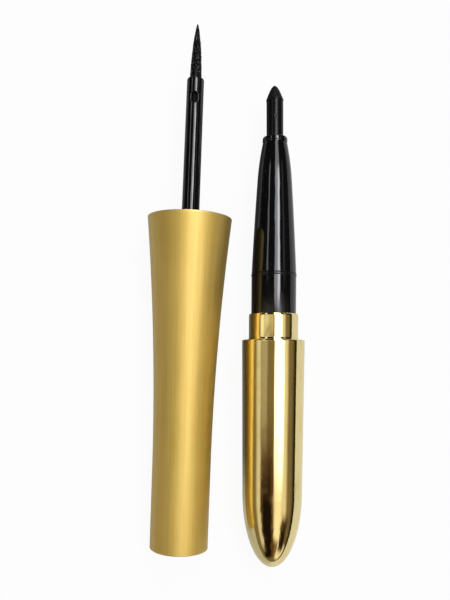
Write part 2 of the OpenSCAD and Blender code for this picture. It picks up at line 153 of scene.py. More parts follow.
def spaced(outline: np.ndarray, longest: np.ndarray | float) -> np.ndarray:
    """The same outline, with points added evenly so that no side is too long.

    Args:
        outline: points of the outline.
        longest: the most that a side may be, for all or for each.

    Returns:
        The denser outline.
    """
    leap = np.diff(outline, axis=0)
    parts = np.maximum(1, np.ceil(np.linalg.norm(leap, axis=1) / longest)).astype(int)
    count = np.arange(parts.sum()) - np.repeat(np.cumsum(parts) - parts, parts)
    start = np.repeat(outline[:-1], parts, axis=0)
    stride = np.repeat(leap / parts[:, None], parts, axis=0)
    return np.vstack((start + stride * count[:, None], outline[-1:]))


def spread(outline: np.ndarray, columns: int) -> tuple[np.ndarray, np.ndarray]:
    """Radius and height of each row, the same in all columns."""
    return np.repeat(outline[:, :1], columns, axis=1), np.repeat(outline[:, 1:], columns, axis=1)


def arc_on(start: np.ndarray, end: np.ndarray, normal: float, steps: int) -> np.ndarray:
    """Arc from one point to another that starts with a given normal.

    The chord's normal turns from the first normal by half of the arc, so the arc's radius is the chord over
    twice the sine of that turn, and its centre lies one radius behind the start.

    Args:
        start: first point.
        end: last point.
        normal: angle of the outward normal at the start, in radians from the radius.
        steps: straight steps in the arc.

    Returns:
        The points, start and end among them.
    """
    chord = end - start
    turn = math.atan2(-chord[0], chord[1]) - normal
    radius = np.linalg.norm(chord) / (2 * math.sin(turn))
    centre = start - radius * np.array((math.cos(normal), math.sin(normal)))
    angle = normal + 2 * turn * np.linspace(0, 1, steps + 1)
    return centre + radius * np.column_stack((np.cos(angle), np.sin(angle)))


def rough_field(shape: tuple[int, int], along: float, across: float, seed: int) -> np.ndarray:
    """Seeded random relief between 0 and 1 that closes on itself round the piece.

    White noise goes through a Gaussian low pass in the frequency domain, with its own width along and across,
    and a few standard deviations of the result fill the range.

    Args:
        shape: rows and columns of the grid.
        along: size of a grain along the piece, in rows.
        across: size of a grain round it, in columns.
        seed: start of the random sequence.

    Returns:
        The relief.
    """
    noise = np.random.default_rng(seed).standard_normal(shape)
    row_wave = np.fft.fftfreq(shape[0])[:, None] * along
    column_wave = np.fft.rfftfreq(shape[1])[None] * across
    low = np.fft.irfft2(np.fft.rfft2(noise) * np.exp(-(row_wave**2) - column_wave**2), s=shape)
    return np.clip(0.5 + (low - low.mean()) / (RELIEF_DEVIATIONS * low.std()), 0, 1)


def smooth_step(value: np.ndarray, low: float, high: float) -> np.ndarray:
    """0 below low, 1 above high, and 3 t^2 - 2 t^3 between them."""
    t = np.clip((value - low) / (high - low), 0, 1)
    return t * t * (3 - 2 * t)


def bell(value: np.ndarray, middle: float, width: float) -> np.ndarray:
    """1 at the middle, falling off as exp(-x^2) of the distance over the width."""
    return np.exp(-(((value - middle) / width) ** 2))


# Surfaces


@dataclass(frozen=True)
class Skin:
    """A surface on a grid, closed round its columns.

    Attributes:
        points: rows by columns by 3, in metres. A first or last row of equal points is a pole.
        wrap: rows by columns by 3: cosine and sine of the angle round the axis, and height in millimetres.
        ring: whether the last row joins the first.
    """

    points: np.ndarray
    wrap: np.ndarray
    ring: bool = False

    def numbered(self, first: int) -> tuple[np.ndarray, np.ndarray, np.ndarray]:
        """Numbers the vertices and lists the faces.

        Args:
            first: number of the first vertex.

        Returns:
            Vertices to keep, quads and triangles. A pole's row keeps one vertex and makes a fan.
        """
        rows, columns = self.points.shape[:2]
        one = np.ptp(self.points.reshape(rows, -1, 3), axis=1).max(axis=1) < POLE
        fresh = np.ones((rows, columns), bool)
        fresh[one, 1:] = False
        number = first + np.cumsum(fresh.ravel()).reshape(rows, columns) - 1
        number[one] = number[one, :1]
        low = number if self.ring else number[:-1]
        high = np.roll(number, -1, axis=0) if self.ring else number[1:]
        loop = (low, high, np.roll(high, -1, axis=1), np.roll(low, -1, axis=1))
        faces = np.stack(loop, axis=-1).reshape(-1, 4)
        from_pole, to_pole = faces[:, 0] == faces[:, 3], faces[:, 1] == faces[:, 2]
        fans = np.vstack((faces[from_pole & ~to_pole][:, :3], faces[to_pole & ~from_pole][:, (0, 1, 3)]))
        return fresh.ravel(), faces[~from_pole & ~to_pole], fans


@dataclass(frozen=True)
class Lie:
    """How one half lies on the table.

    Attributes:
        origin: point of the axis at height 0, in metres.
        along: direction of the axis.
        side: level direction to the right of it.
        up: direction away from the table, square to both.
    """

    origin: np.ndarray
    along: np.ndarray
    side: np.ndarray
    up: np.ndarray

    @classmethod
    def through(cls, point: list[float], direction: list[float], height: float) -> "Lie":
        """Lie of an axis of which one point is known.

        The side is the axis crossed with the vertical, and up is the side crossed with the axis.

        Args:
            point: a point of the axis in the record, in metres.
            direction: the axis in the record.
            height: height of that point along the half.

        Returns:
            The lie.
        """
        along = unit(np.array(direction, float))
        side = unit(np.cross(along, (0, 0, 1)))
        return cls(np.array(point, float) - height * MM * along, along, side, np.cross(side, along))

    def leaning(self, height: float, degrees: float) -> "Lie":
        """The lie of a piece that leans over to the side.

        Args:
            height: height of the point of the axis that stays.
            degrees: how far it leans.

        Returns:
            The lie.
        """
        cosine, sine = math.cos(math.radians(degrees)), math.sin(math.radians(degrees))
        along, side = self.along * cosine + self.side * sine, self.side * cosine - self.along * sine
        return Lie(self.origin + height * MM * (self.along - along), along, side, self.up)

    def place(self, across: np.ndarray, above: np.ndarray, height: np.ndarray) -> np.ndarray:
        """Points at origin + across * side + above * up + height * along, in metres."""
        local = np.stack(np.broadcast_arrays(across, above, height), axis=-1) * MM
        return self.origin + local @ np.stack((self.side, self.up, self.along))

    def skin(self, radius: np.ndarray, height: np.ndarray, ring: bool = False) -> Skin:
        """Surface round the axis: a point at angle a lies r cos a across and r sin a above it.

        Args:
            radius: radii, rows by columns.
            height: heights, rows by columns.
            ring: whether the last row joins the first.

        Returns:
            The surface.
        """
        turn = column_angles(radius.shape[1])
        cosine = np.broadcast_to(np.cos(turn), radius.shape)
        sine = np.broadcast_to(np.sin(turn), radius.shape)
        wrap = np.stack((cosine, sine, height), axis=-1)
        return Skin(self.place(radius * cosine, radius * sine, height), wrap, ring)

    def prism(self, across: np.ndarray, along: np.ndarray, reach: float) -> Skin:
        """Upright prism through the axis.

        The rows are a pole, the outline at the low end, the outline at the high end, and a pole.

        Args:
            across: distances of the outline's points to the side of the axis, clockwise seen from above.
            along: their heights along the axis.
            reach: how far the prism goes under and above the axis.

        Returns:
            The closed prism.
        """
        middle = (np.full_like(across, across.mean()), np.full_like(along, along.mean()))
        rows = ((middle, -reach), ((across, along), -reach), ((across, along), reach), (middle, reach))
        points = np.stack([self.place(x, np.full_like(x, level), y) for (x, y), level in rows])
        return Skin(points, np.zeros_like(points))


def column_angles(columns: int) -> np.ndarray:
    """Angles of the columns, evenly round from the underside."""
    return TAU * np.arange(columns) / columns - TAU / 4


def into_scene(name: str, data: bpy.types.ID) -> bpy.types.Object:
    """Makes an object of a mesh or a camera and links it to the scene.

    Args:
        name: name of the object.
        data: the mesh or camera.

    Returns:
        The object, at the origin.
    """
    thing = bpy.data.objects.new(name, data)
    bpy.context.scene.collection.objects.link(thing)
    return thing


def mesh_of(name: str, skins: list[Skin], crease: float = 40.0) -> bpy.types.Object:
    """Makes one object of one or more surfaces.

    Args:
        name: name of the object and of its mesh.
        skins: the surfaces.
        crease: angle in degrees above which an edge shades sharp.

    Returns:
        The object, in the scene, at the origin.
    """
    kept, count = [], 0
    for skin in skins:
        fresh, four, three = skin.numbered(count)
        kept.append((skin.points.reshape(-1, 3)[fresh], skin.wrap.reshape(-1, 3)[fresh], four, three))
        count += int(fresh.sum())
    points, wraps, quads, fans = map(np.vstack, zip(*kept))
    starts = np.concatenate((4 * np.arange(len(quads)), quads.size + 3 * np.arange(len(fans))))
    mesh = bpy.data.meshes.new(name)
    mesh.vertices.add(count)
    mesh.vertices.foreach_set("co", points.astype(np.float32).ravel())
    mesh.loops.add(quads.size + fans.size)
    mesh.loops.foreach_set("vertex_index", np.concatenate((quads.ravel(), fans.ravel())).astype(np.int32))
    mesh.polygons.add(len(starts))
    mesh.polygons.foreach_set("loop_start", starts.astype(np.int32))
    mesh.update(calc_edges=True)
    wrap = mesh.attributes.new("wrap", "FLOAT_VECTOR", "POINT")
    wrap.data.foreach_set("vector", wraps.astype(np.float32).ravel())
    mesh.validate()
    smooth(mesh, crease)
    return into_scene(name, mesh)


def smooth(mesh: bpy.types.Mesh, crease: float) -> None:
    """Shades a mesh smooth, apart from edges sharper than a crease in degrees."""
    mesh.shade_smooth()
    mesh.set_sharp_from_angle(angle=math.radians(crease))


def pierce(piece: bpy.types.Object, prism: Skin, crease: float = 30.0, near: float = 2e-7) -> None:
    """Cuts a hole through a piece, joins the doubled points along the cut, and keeps the result as its mesh.

    Args:
        piece: the piece.
        prism: closed shape of the hole.
        crease: angle in degrees above which an edge shades sharp afterwards.
        near: distance in metres within which points are joined.
    """
    punch = mesh_of(f"{piece.name}_punch", [prism])
    cut = piece.modifiers.new("hole", "BOOLEAN")
    cut.operation, cut.solver, cut.object = "DIFFERENCE", "MANIFOLD", punch
    bpy.context.view_layer.update()
    whole = piece.data
    piece.data = bpy.data.meshes.new_from_object(piece.evaluated_get(bpy.context.evaluated_depsgraph_get()))
    piece.modifiers.clear()
    bpy.data.objects.remove(punch)
    bpy.data.meshes.remove(whole)
    joined = bmesh.new()
    joined.from_mesh(piece.data)
    bmesh.ops.remove_doubles(joined, verts=joined.verts, dist=near)
    bmesh.ops.dissolve_degenerate(joined, edges=joined.edges, dist=near)
    joined.to_mesh(piece.data)
    joined.free()
    piece.data.name = piece.name
    smooth(piece.data, crease)


# Shaders


class Socket:
    """A node's output. Python's operators on it add Math nodes."""

    def __init__(self, nodes: "Nodes", output: bpy.types.NodeSocket) -> None:
        """Keeps the output and the tree that it belongs to."""
        self.nodes = nodes
        self.output = output

    def _math(self, operation: str, *values: "Socket | Number") -> "Socket":
        """Math node with its values in order."""
        return self.nodes.add("ShaderNodeMath", {"operation": operation}, dict(enumerate(values)))

    def __add__(self, other: "Socket | Number") -> "Socket":
        """self + other."""
        return self._math("ADD", self, other)

    __radd__ = __add__

    def __sub__(self, other: "Socket | Number") -> "Socket":
        """self - other."""
        return self._math("SUBTRACT", self, other)

    def __rsub__(self, other: Number) -> "Socket":
        """other - self."""
        return self._math("SUBTRACT", other, self)

    def __mul__(self, other: "Socket | Number") -> "Socket":
        """self * other."""
        return self._math("MULTIPLY", self, other)

    __rmul__ = __mul__

    def angle_from(self, other: "Socket") -> "Socket":
        """Angle whose tangent is self over other, in degrees."""
        return self._math("ARCTAN2", self, other) * (360 / TAU)

    def arcsine(self) -> "Socket":
        """Angle whose sine is self, in degrees."""
        return self._math("ARCSINE", self) * (360 / TAU)

    def axis(self, number: int) -> "Socket":
        """One coordinate of a vector: 0 is x, 1 is y and 2 is z."""
        return self.nodes.add("ShaderNodeSeparateXYZ", sockets={0: self}, output=number)

    def larger(self, other: "Socket | Number") -> "Socket":
        """The larger of the two."""
        return self._math("MAXIMUM", self, other)

    def step(self, low: Number, high: Number) -> "Socket":
        """Smooth step from 0 at low to 1 at high."""
        sockets = {0: self, 1: low, 2: high, 3: 0.0, 4: 1.0}
        return self.nodes.add("ShaderNodeMapRange", {"interpolation_type": "SMOOTHSTEP"}, sockets)

    def band(self, start: Number, full: Number, ebb: Number, end: Number) -> "Socket":
        """Rises from 0 at start to 1 at full, and falls from 1 at ebb to 0 at end."""
        return self.step(start, full) * (1 - self.step(ebb, end))


class Nodes:
    """The node tree of one finish or of the world."""

    def __init__(self, owner: bpy.types.Material | bpy.types.World) -> None:
        """Gives the owner an empty tree.

        Args:
            owner: the material or the world.
        """
        owner.use_nodes = True
        self.tree = owner.node_tree
        self.tree.nodes.clear()

    def node(
        self, kind: str, settings: Settings | None = None, sockets: Sockets | None = None
    ) -> bpy.types.Node:
        """Adds a node.

        Args:
            kind: type of the node.
            settings: its own settings, which are set first.
            sockets: value or link of each input, by name or number.

        Returns:
            The node.
        """
        node = self.tree.nodes.new(kind)
        for key, value in (settings or {}).items():
            setattr(node, key, value)
        for key, value in (sockets or {}).items():
            if isinstance(value, Socket):
                self.tree.links.new(value.output, node.inputs[key])
            else:
                node.inputs[key].default_value = with_alpha(value, node.inputs[key].type)
        return node

    def add(
        self, kind: str, settings: Settings | None = None, sockets: Sockets | None = None, output: int = 0
    ) -> Socket:
        """Adds a node, as node() does, and gives its output of that number."""
        return Socket(self, self.node(kind, settings, sockets).outputs[output])

    def vectors(self, operation: str, *values: Socket | Colour) -> Socket:
        """Vector Math node with its values in order."""
        return self.add("ShaderNodeVectorMath", {"operation": operation}, dict(enumerate(values)))

    def around(self) -> Socket:
        """Place on a revolved piece: cosine and sine of the angle round its axis, and its height."""
        return self.add("ShaderNodeAttribute", {"attribute_name": "wrap"}, output=1)

    def height(self) -> Socket:
        """Height along the axis of a revolved piece."""
        return self.around().axis(2)

    def wrap(self, across: float, along: float) -> Socket:
        """Place on a revolved piece, stretched by its own factors across and along the axis."""
        return self.vectors("MULTIPLY", self.around(), (across, across, along))

    def in_millimetres(self) -> Socket:
        """Object coordinates in millimetres."""
        return self.vectors("MULTIPLY", self.add("ShaderNodeTexCoord", output=3), (1 / MM, 1 / MM, 1 / MM))

    def noise(self, vector: Socket, scale: float, detail: float) -> Socket:
        """Cloudy noise, about 0.5 in the middle."""
        return self.add("ShaderNodeTexNoise", sockets={"Vector": vector, "Scale": scale, "Detail": detail})

    def streaks(self, across: float, along: float, detail: float) -> Socket:
        """Noise on a revolved piece, as dense as its factors across and along the axis say."""
        return self.noise(self.wrap(across, along), 1.0, detail)

    def specks(self, vector: Socket, scale: float, size: float, share: float) -> Socket:
        """Small round specks, 1 inside.

        Each cell holds one speck, and only the cells whose random colour is under a share keep theirs.

        Args:
            vector: place on the piece.
            scale: cells to each unit of it.
            size: radius of a speck in cells.
            share: share of the cells that hold one.

        Returns:
            The mask.
        """
        cells = self.node("ShaderNodeTexVoronoi", sockets={"Vector": vector, "Scale": scale})
        away, colour = Socket(self, cells.outputs[0]), Socket(self, cells.outputs[1])
        empty = colour.axis(0).step(share, share + SPECK_CHOICE)
        return (1 - away.step(size * SPECK_CORE, size)) * (1 - empty)

    def mix(self, factor: Socket, low: Socket | Colour, high: Socket | Colour) -> Socket:
        """Colour between two others."""
        return self.add("ShaderNodeMix", {"data_type": "RGBA"}, {0: factor, 6: low, 7: high}, output=2)

    def bump(self, height: Socket, depth: float, strength: float = 1.0) -> Socket:
        """Normal of a relief whose full height is a depth in millimetres."""
        sockets = {"Height": height, "Distance": depth * MM, "Strength": strength}
        return self.add("ShaderNodeBump", sockets=sockets)

    def surface(self, **sockets: object) -> None:
        """Principled shader on the output.

        Args:
            sockets: values or links of its sockets, named with underscores for spaces.
        """
        named = {key.replace("_", " "): value for key, value in sockets.items()}
        shader = self.add("ShaderNodeBsdfPrincipled", sockets=named)
        self.node("ShaderNodeOutputMaterial", sockets={0: shader})


def with_alpha(value: object, kind: str) -> object:
    """A colour with its fourth number where the socket asks for one, and any other value as it is."""
    return (*value, 1.0) if kind == "RGBA" and len(value) == 3 else value


class Finish(ABC):
    """A finish of one material slot."""

    slot: Slot

    @abstractmethod
    def shade(self, nodes: Nodes) -> None:
        """Adds the finish's nodes."""


@cache
def material_of(finish: Finish) -> bpy.types.Material:
    """Makes a finish's material, once.

    Args:
        finish: the finish.

    Returns:
        The material.
    """
    material = bpy.data.materials.new(f"{finish.slot.value}_{type(finish).__name__}")
    finish.shade(Nodes(material))
    return material


@dataclass(frozen=True)
class SatinSleeveGold(Finish):
    """Satin gold lacquer with a very fine grain and faint polishing lines, under a soft clear coat.

    Attributes:
        light: colour where the lacquer is thin.
        deep: colour where it is thicker.
        polished: colour of the rims, which handling has polished.
        roughness: mean roughness between the rims.
        varied: how far the clouds and the grain vary it, each.
        rubbed: how much smoother the rims are, and how much of the polished colour they take.
        haze: roughness of the coat.
        lines: the polishing lines.
        clouds: the clouds in the lacquer.
        grain: grains to a millimetre, and their detail.
        relief: depth of the grain, and its strength.
        rims: heights of the two rims.
        edge: where the polish starts to fade and has faded, from a rim.
    """

    slot: Slot = Slot.SATIN_GOLD
    light: Colour = (0.83, 0.61, 0.155)
    deep: Colour = (0.76, 0.545, 0.115)
    polished: Colour = (0.9, 0.7, 0.32)
    roughness: float = 0.62
    varied: float = 0.06
    rubbed: Span = (0.14, 0.4)
    haze: float = 0.42
    lines: Pattern = (20.0, 0.05, 2.0)
    clouds: Pattern = (1.6, 0.1, 3.0)
    grain: Span = (16.0, 2.0)
    relief: Span = (0.004, 0.5)
    rims: Span = (0.0, 65.1)
    edge: Span = (0.1, 0.4)

    def shade(self, nodes: Nodes) -> None:
        """Lines and clouds move the colour, clouds and grain the roughness, grain and lines the relief.

        Args:
            nodes: the material's nodes.
        """
        line = nodes.streaks(*self.lines)
        cloud = nodes.streaks(*self.clouds)
        grain = nodes.noise(nodes.in_millimetres(), *self.grain)
        height = nodes.height()
        (low, high), (near, far) = self.rims, self.edge
        worn = (1 - height.step(low + near, low + far)).larger(height.step(high - far, high - near))
        smoother, brighter = self.rubbed
        colour = nodes.mix((line * 0.6 + cloud * 0.4).step(0.35, 0.65), self.deep, self.light)
        nodes.surface(
            Base_Color=nodes.mix(worn * brighter, colour, self.polished),
            Metallic=1.0,
            Roughness=self.roughness - self.varied + (cloud + grain) * self.varied - worn * smoother,
            Coat_Weight=1.0,
            Coat_Roughness=self.haze,
            Normal=nodes.bump(grain + line * 0.1, *self.relief),
        )


@dataclass(frozen=True)
class MirrorGold(Finish):
    """Bright gold plating that mirrors the room, with faint waves, hairlines and finger haze.

    Attributes:
        colour: colour of the plating.
        dull: colour of smudges and pits.
        waves: depth of the slow waves in the drawn shell.
        roughness: roughness of clean plating.
        haze: how far smudges raise it.
        rougher: how far hairlines and pits raise it.
        rolls: the slow waves.
        hairlines: the hairlines.
        smudges: the finger haze.
        spacing: how dense the pits are across and along.
        pits: cells to a unit of that, radius of a pit in cells, and share of the cells that hold one.
    """

    slot: Slot = Slot.MIRROR_GOLD
    colour: Colour = (0.93, 0.79, 0.385)
    dull: Colour = (0.86, 0.65, 0.24)
    waves: float = 0.036
    roughness: float = 0.05
    haze: float = 0.1
    rougher: Span = (0.03, 0.3)
    rolls: Pattern = (1.7, 0.11, 1.0)
    hairlines: Pattern = (70.0, 0.5, 1.0)
    smudges: Pattern = (2.5, 0.3, 4.0)
    spacing: Span = (6.0, 1.0)
    pits: tuple[float, float, float] = (1.6, 0.12, 0.08)

    def shade(self, nodes: Nodes) -> None:
        """Long waves in the relief bend the reflections; cloudy noise hazes them.

        Args:
            nodes: the material's nodes.
        """
        wave = nodes.streaks(*self.rolls)
        hairline = nodes.streaks(*self.hairlines)
        smudge = nodes.streaks(*self.smudges).step(0.5, 0.75)
        pit = nodes.specks(nodes.wrap(*self.spacing), *self.pits)
        scratched, pitted = self.rougher
        nodes.surface(
            Base_Color=nodes.mix(smudge * 0.5 + pit * 0.5, self.colour, self.dull),
            Metallic=1.0,
            Roughness=self.roughness + smudge * self.haze + hairline * scratched + pit * pitted,
            Normal=nodes.bump(wave + hairline * 0.01, self.waves),
        )


@dataclass(frozen=True)
class GlossBlack(Finish):
    """Glossy black moulding with a trace of orange peel, finger haze and dust.

    Attributes:
        colour: colour of the plastic.
        grey: colour of the dust.
        dust: share of cells that hold a speck of it.
        spacing: how dense the cells are across and along.
        specks: cells to a unit of that, and radius of a speck in cells.
        roughness: roughness of the clean plastic.
        rougher: how far finger haze and dust raise it.
        peel: depth of the orange peel.
        waves: the orange peel.
        smudges: the finger haze.
    """

    slot: Slot = Slot.GLOSS_BLACK
    colour: Colour = (0.004, 0.004, 0.0045)
    grey: Colour = (0.12, 0.12, 0.11)
    dust: float = 0.05
    spacing: Span = (9.0, 2.0)
    specks: Span = (1.5, 0.16)
    roughness: float = 0.07
    rougher: Span = (0.07, 0.5)
    peel: float = 0.02
    waves: Pattern = (3.0, 0.25, 1.0)
    smudges: Pattern = (4.0, 0.6, 4.0)

    def shade(self, nodes: Nodes) -> None:
        """Slow waves and dust in the relief, dust and finger haze in colour and roughness.

        Args:
            nodes: the material's nodes.
        """
        wave = nodes.streaks(*self.waves)
        haze = nodes.streaks(*self.smudges).step(0.52, 0.8)
        speck = nodes.specks(nodes.wrap(*self.spacing), *self.specks, self.dust)
        hazy, dusty = self.rougher
        nodes.surface(
            Base_Color=nodes.mix(speck, self.colour, self.grey),
            Roughness=self.roughness + haze * hazy + speck * dusty,
            IOR=1.5,
            Normal=nodes.bump(wave + speck * 0.1, self.peel),
        )


@dataclass(frozen=True)
class MouldedPlastic(Finish):
    """Plain moulded plastic for the inner pieces, with a fine spark-eroded grain.

    Attributes:
        colour: colour of the plastic.
        clouded: colour of the slight clouds in it.
        roughness: mean roughness.
        grain: depth of the grain.
        varied: how far the clouds vary the roughness.
        clouds: clouds to a millimetre, and their detail.
        sparks: grains to a millimetre, and their detail.
    """

    slot: Slot = Slot.BLACK_LINER
    colour: Colour = (0.02, 0.02, 0.022)
    clouded: Colour = (0.012, 0.012, 0.013)
    roughness: float = 0.35
    grain: float = 0.004
    varied: float = 0.12
    clouds: Span = (0.4, 3.0)
    sparks: Span = (14.0, 2.0)

    def shade(self, nodes: Nodes) -> None:
        """Clouds move colour and roughness; a fine grain moves the relief.

        Args:
            nodes: the material's nodes.
        """
        place = nodes.in_millimetres()
        cloud = nodes.noise(place, *self.clouds)
        nodes.surface(
            Base_Color=nodes.mix(cloud.step(0.3, 0.7), self.clouded, self.colour),
            Roughness=self.roughness - self.varied / 2 + cloud * self.varied,
            Normal=nodes.bump(nodes.noise(place, *self.sparks), self.grain),
        )


@dataclass(frozen=True)
class InkedFelt(Finish):
    """Dense black felt, wet with liner in places.

    Attributes:
        dry_and_glint: colour of the lighter flecks, partly dry fibres and partly painted glints where the fibres
            catch the lamp.
        wet: colour of the soaked felt.
        stem_z: height of the stem's end, past which the felt is wet and smoother and shows the flecks with their
            painted glints.
        roughness: roughness under that height, and how much smoother the wet felt is.
        refraction: refractive index of the liner.
        fibres: the long fibres.
        tufts: the short tufts.
        relief: depth of both.
    """

    slot: Slot = Slot.BLACK_FELT
    dry_and_glint: Colour = (0.13, 0.13, 0.132)
    wet: Colour = (0.002, 0.002, 0.0022)
    stem_z: float = 91.9
    roughness: Span = (0.6, 0.5)
    refraction: float = 1.18
    fibres: Pattern = (9.0, 1.2, 1.0)
    tufts: Pattern = (3.6, 3.0, 1.0)
    relief: float = 0.1

    def shade(self, nodes: Nodes) -> None:
        """Fibres and tufts move colour and relief, and the height parts the matte felt from the wet.

        Args:
            nodes: the material's nodes.
        """
        fibre = nodes.streaks(*self.fibres)
        tuft = nodes.streaks(*self.tufts)
        bare = nodes.height().step(self.stem_z - 0.2, self.stem_z + 0.6)
        # Lighter flecks past the stem's end: partly dry fibres, partly painted glints of the lamp
        fleck_and_glint = tuft.step(0.5, 0.7) * fibre.step(0.46, 0.6) * bare
        matte, smoother = self.roughness
        nodes.surface(
            Base_Color=nodes.mix(fleck_and_glint, self.wet, self.dry_and_glint),
            Roughness=matte - bare * smoother,
            IOR=self.refraction,
            Normal=nodes.bump(fibre * 0.5 + tuft * 0.5, self.relief),
        )


@dataclass(frozen=True)
class GelBlack(Finish):
    """Black gel crayon: waxy gloss on the side, matte where the point was cut.

    Attributes:
        point_z: height at which the cut point starts.
        colour: colour of the gel.
        roughness: roughness of the side, and how much rougher the point is.
        refraction: refractive index of the gel.
        drags: the drag lines.
        crumbs: the crumbs on the point.
        relief: depth of both.
    """

    point_z: float
    slot: Slot = Slot.GEL_BLACK
    colour: Colour = (0.004, 0.004, 0.0044)
    roughness: Span = (0.24, 0.34)
    refraction: float = 1.27
    drags: Pattern = (4.0, 0.3, 1.0)
    crumbs: Pattern = (5.0, 3.0, 2.0)
    relief: float = 0.04

    def shade(self, nodes: Nodes) -> None:
        """Height parts the glossy side from the matte point; drag lines run along the side.

        Args:
            nodes: the material's nodes.
        """
        cut = nodes.height().step(self.point_z - 0.12, self.point_z + 0.1)
        drag = nodes.streaks(*self.drags)
        crumb = nodes.streaks(*self.crumbs)
        waxy, rougher = self.roughness
        nodes.surface(
            Base_Color=self.colour,
            Roughness=waxy + cut * rougher + crumb.step(0.45, 0.75) * 0.06,
            IOR=self.refraction,
            Normal=nodes.bump(drag * (0.3 - cut * 0.3) + crumb * cut * 0.5, self.relief),
        )


@dataclass(frozen=True)
class OpenFoam(Finish):
    """Pale foam with open pores.

    Attributes:
        colour: colour of the foam.
        pores: painted shade in the pores, darker than the foam.
        count: pores to a millimetre.
        walls: where the wall starts and is full, from a pore's middle, in cells.
        roughness: roughness in a pore, and how much rougher the wall is.
        relief: depth of the pores.
    """

    slot: Slot = Slot.WHITE_FOAM
    colour: Colour = (0.72, 0.71, 0.68)
    pores: Colour = (0.4, 0.39, 0.37)
    count: float = 4.0
    walls: Span = (0.15, 0.5)
    roughness: Span = (0.8, 0.1)
    relief: float = 0.08

    def shade(self, nodes: Nodes) -> None:
        """Painted shade darkens the pores, which sink into the foam.

        Args:
            nodes: the material's nodes.
        """
        sockets = {"Vector": nodes.in_millimetres(), "Scale": self.count}
        wall = nodes.add("ShaderNodeTexVoronoi", sockets=sockets).step(*self.walls)
        smooth_pore, rougher = self.roughness
        nodes.surface(
            # The pores' darker colour is painted shade in the hollows
            Base_Color=nodes.mix(wall, self.pores, self.colour),
            Roughness=smooth_pore + wall * rougher,
            Normal=nodes.bump(wall, self.relief),
        )


LINER_PLASTIC = MouldedPlastic()
ACETAL = MouldedPlastic(Slot.WHITE_ACETAL, (0.72, 0.71, 0.67), (0.66, 0.65, 0.61), 0.4, 0.003)
SEAL_PLASTIC = MouldedPlastic(Slot.SOFT_SEAL, (0.42, 0.43, 0.43), (0.36, 0.37, 0.37), 0.5, 0.006)
RING_RUBBER = MouldedPlastic(Slot.RING_RUBBER, (0.03, 0.03, 0.03), (0.02, 0.02, 0.02), 0.55, 0.006)


# Pieces


def add_piece(name: str, skins: list[Skin], body: Body, finish: Finish, *stands_for: str) -> bpy.types.Object:
    """Makes a piece, dresses it and lets it ride.

    Args:
        name: name of the piece.
        skins: its surfaces.
        body: the body that it rides on.
        finish: its finish.
        stands_for: the CAD nodes that it stands for.

    Returns:
        The piece.
    """
    piece = mesh_of(name, skins)
    piece.data.materials.append(material_of(finish))
    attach(piece, body.value)
    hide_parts(*stands_for)
    return piece


def dress_node(node: str, finish: Finish) -> bpy.types.Object:
    """Gives a CAD node that stays its material.

    Args:
        node: name of the node.
        finish: its finish.

    Returns:
        The node's object.
    """
    piece = frame["nodes"][node]
    piece.data.materials.clear()
    piece.data.materials.append(material_of(finish))
    return piece


def mount(name: str) -> dict:
    """The record's mount of that name."""
    return next(entry for entry in frame["record"]["mounts"] if entry["name"] == name)


def joint(name: str) -> dict:
    """The record's joint of that name."""
    return next(entry for entry in frame["joints"] if entry["name"] == name)


@dataclass(frozen=True)
class Part(ABC):
    """A sub-assembly.

    Attributes:
        lie: how its half lies.
    """

    lie: Lie

    @abstractmethod
    def dress(self) -> list[bpy.types.Object]:
        """Makes and finishes the sub-assembly's pieces."""

    def turned(
        self, corners: Corners, longest: float = math.inf, ring: bool = False, columns: int = COLUMNS
    ) -> Skin:
        """Rounds an outline's corners and turns it round the axis.

        Args:
            corners: the corners. Up the outside, over the top and down the inside faces out.
            longest: the most that a side may be, but for the one that closes a ring.
            ring: whether the outline closes on itself, or starts and ends on the axis.
            columns: columns round the axis.

        Returns:
            The surface of revolution.
        """
        return self.lie.skin(*spread(spaced(rounded(corners, ring), longest), columns), ring)


@dataclass(frozen=True)
class Sleeve(Part):
    """The handle's satin sleeve, a straight tube and a flare.

    Attributes:
        length: length of the sleeve.
        tube_r: outside radius of the straight stretch.
        mouth_r: outside radius of the flared mouth.
        flare: length of the flare.
        wall: wall of the sleeve.
        edges: how far the outer and inner edges of a rim are cut.
        rows: points along the outside.
    """

    length: float = 65.1
    tube_r: float = 5.78
    mouth_r: float = 8.22
    flare: float = 49.0
    wall: float = 0.5
    edges: Span = (0.18, 0.14)
    rows: int = 61

    def radius_at(self, height: np.ndarray | float) -> np.ndarray | float:
        """Outside radius.

        Straight up to the flare, then R - sqrt(R^2 - z^2) more, the arc of radius R = (flare^2 + rise^2) /
        (2 rise) that leaves the tube tangentially.

        Args:
            height: the height, or several.

        Returns:
            The radius at each.
        """
        rise = self.mouth_r - self.tube_r
        bend = (self.flare**2 + rise**2) / (2 * rise)
        past = np.maximum(0, height - (self.length - self.flare))
        return self.tube_r + bend - np.sqrt(bend**2 - past**2)

    def seat_at(self, height: float) -> float:
        """Radius of a piece pushed into the sleeve."""
        return float(self.radius_at(height)) - self.wall - PUSH_GAP

    def tube(self) -> Skin:
        """Outside up, rounded rims, and the same line less the wall down.

        Returns:
            The surface.
        """
        height = np.linspace(0, self.length, self.rows)
        outside = np.column_stack((self.radius_at(height), height, np.zeros_like(height)))
        inside = outside[::-1] - (self.wall, 0, 0)
        outside[[0, -1], 2], inside[[0, -1], 2] = self.edges
        return self.turned(np.vstack((outside, inside)), ring=True)

    def dress(self) -> list[bpy.types.Object]:
        """Makes the sleeve.

        Returns:
            The sleeve alone.
        """
        finish = SatinSleeveGold(rims=(0.0, self.length))
        return [add_piece("satin_sleeve", [self.tube()], Body.HANDLE, finish, "handle_sleeve")]


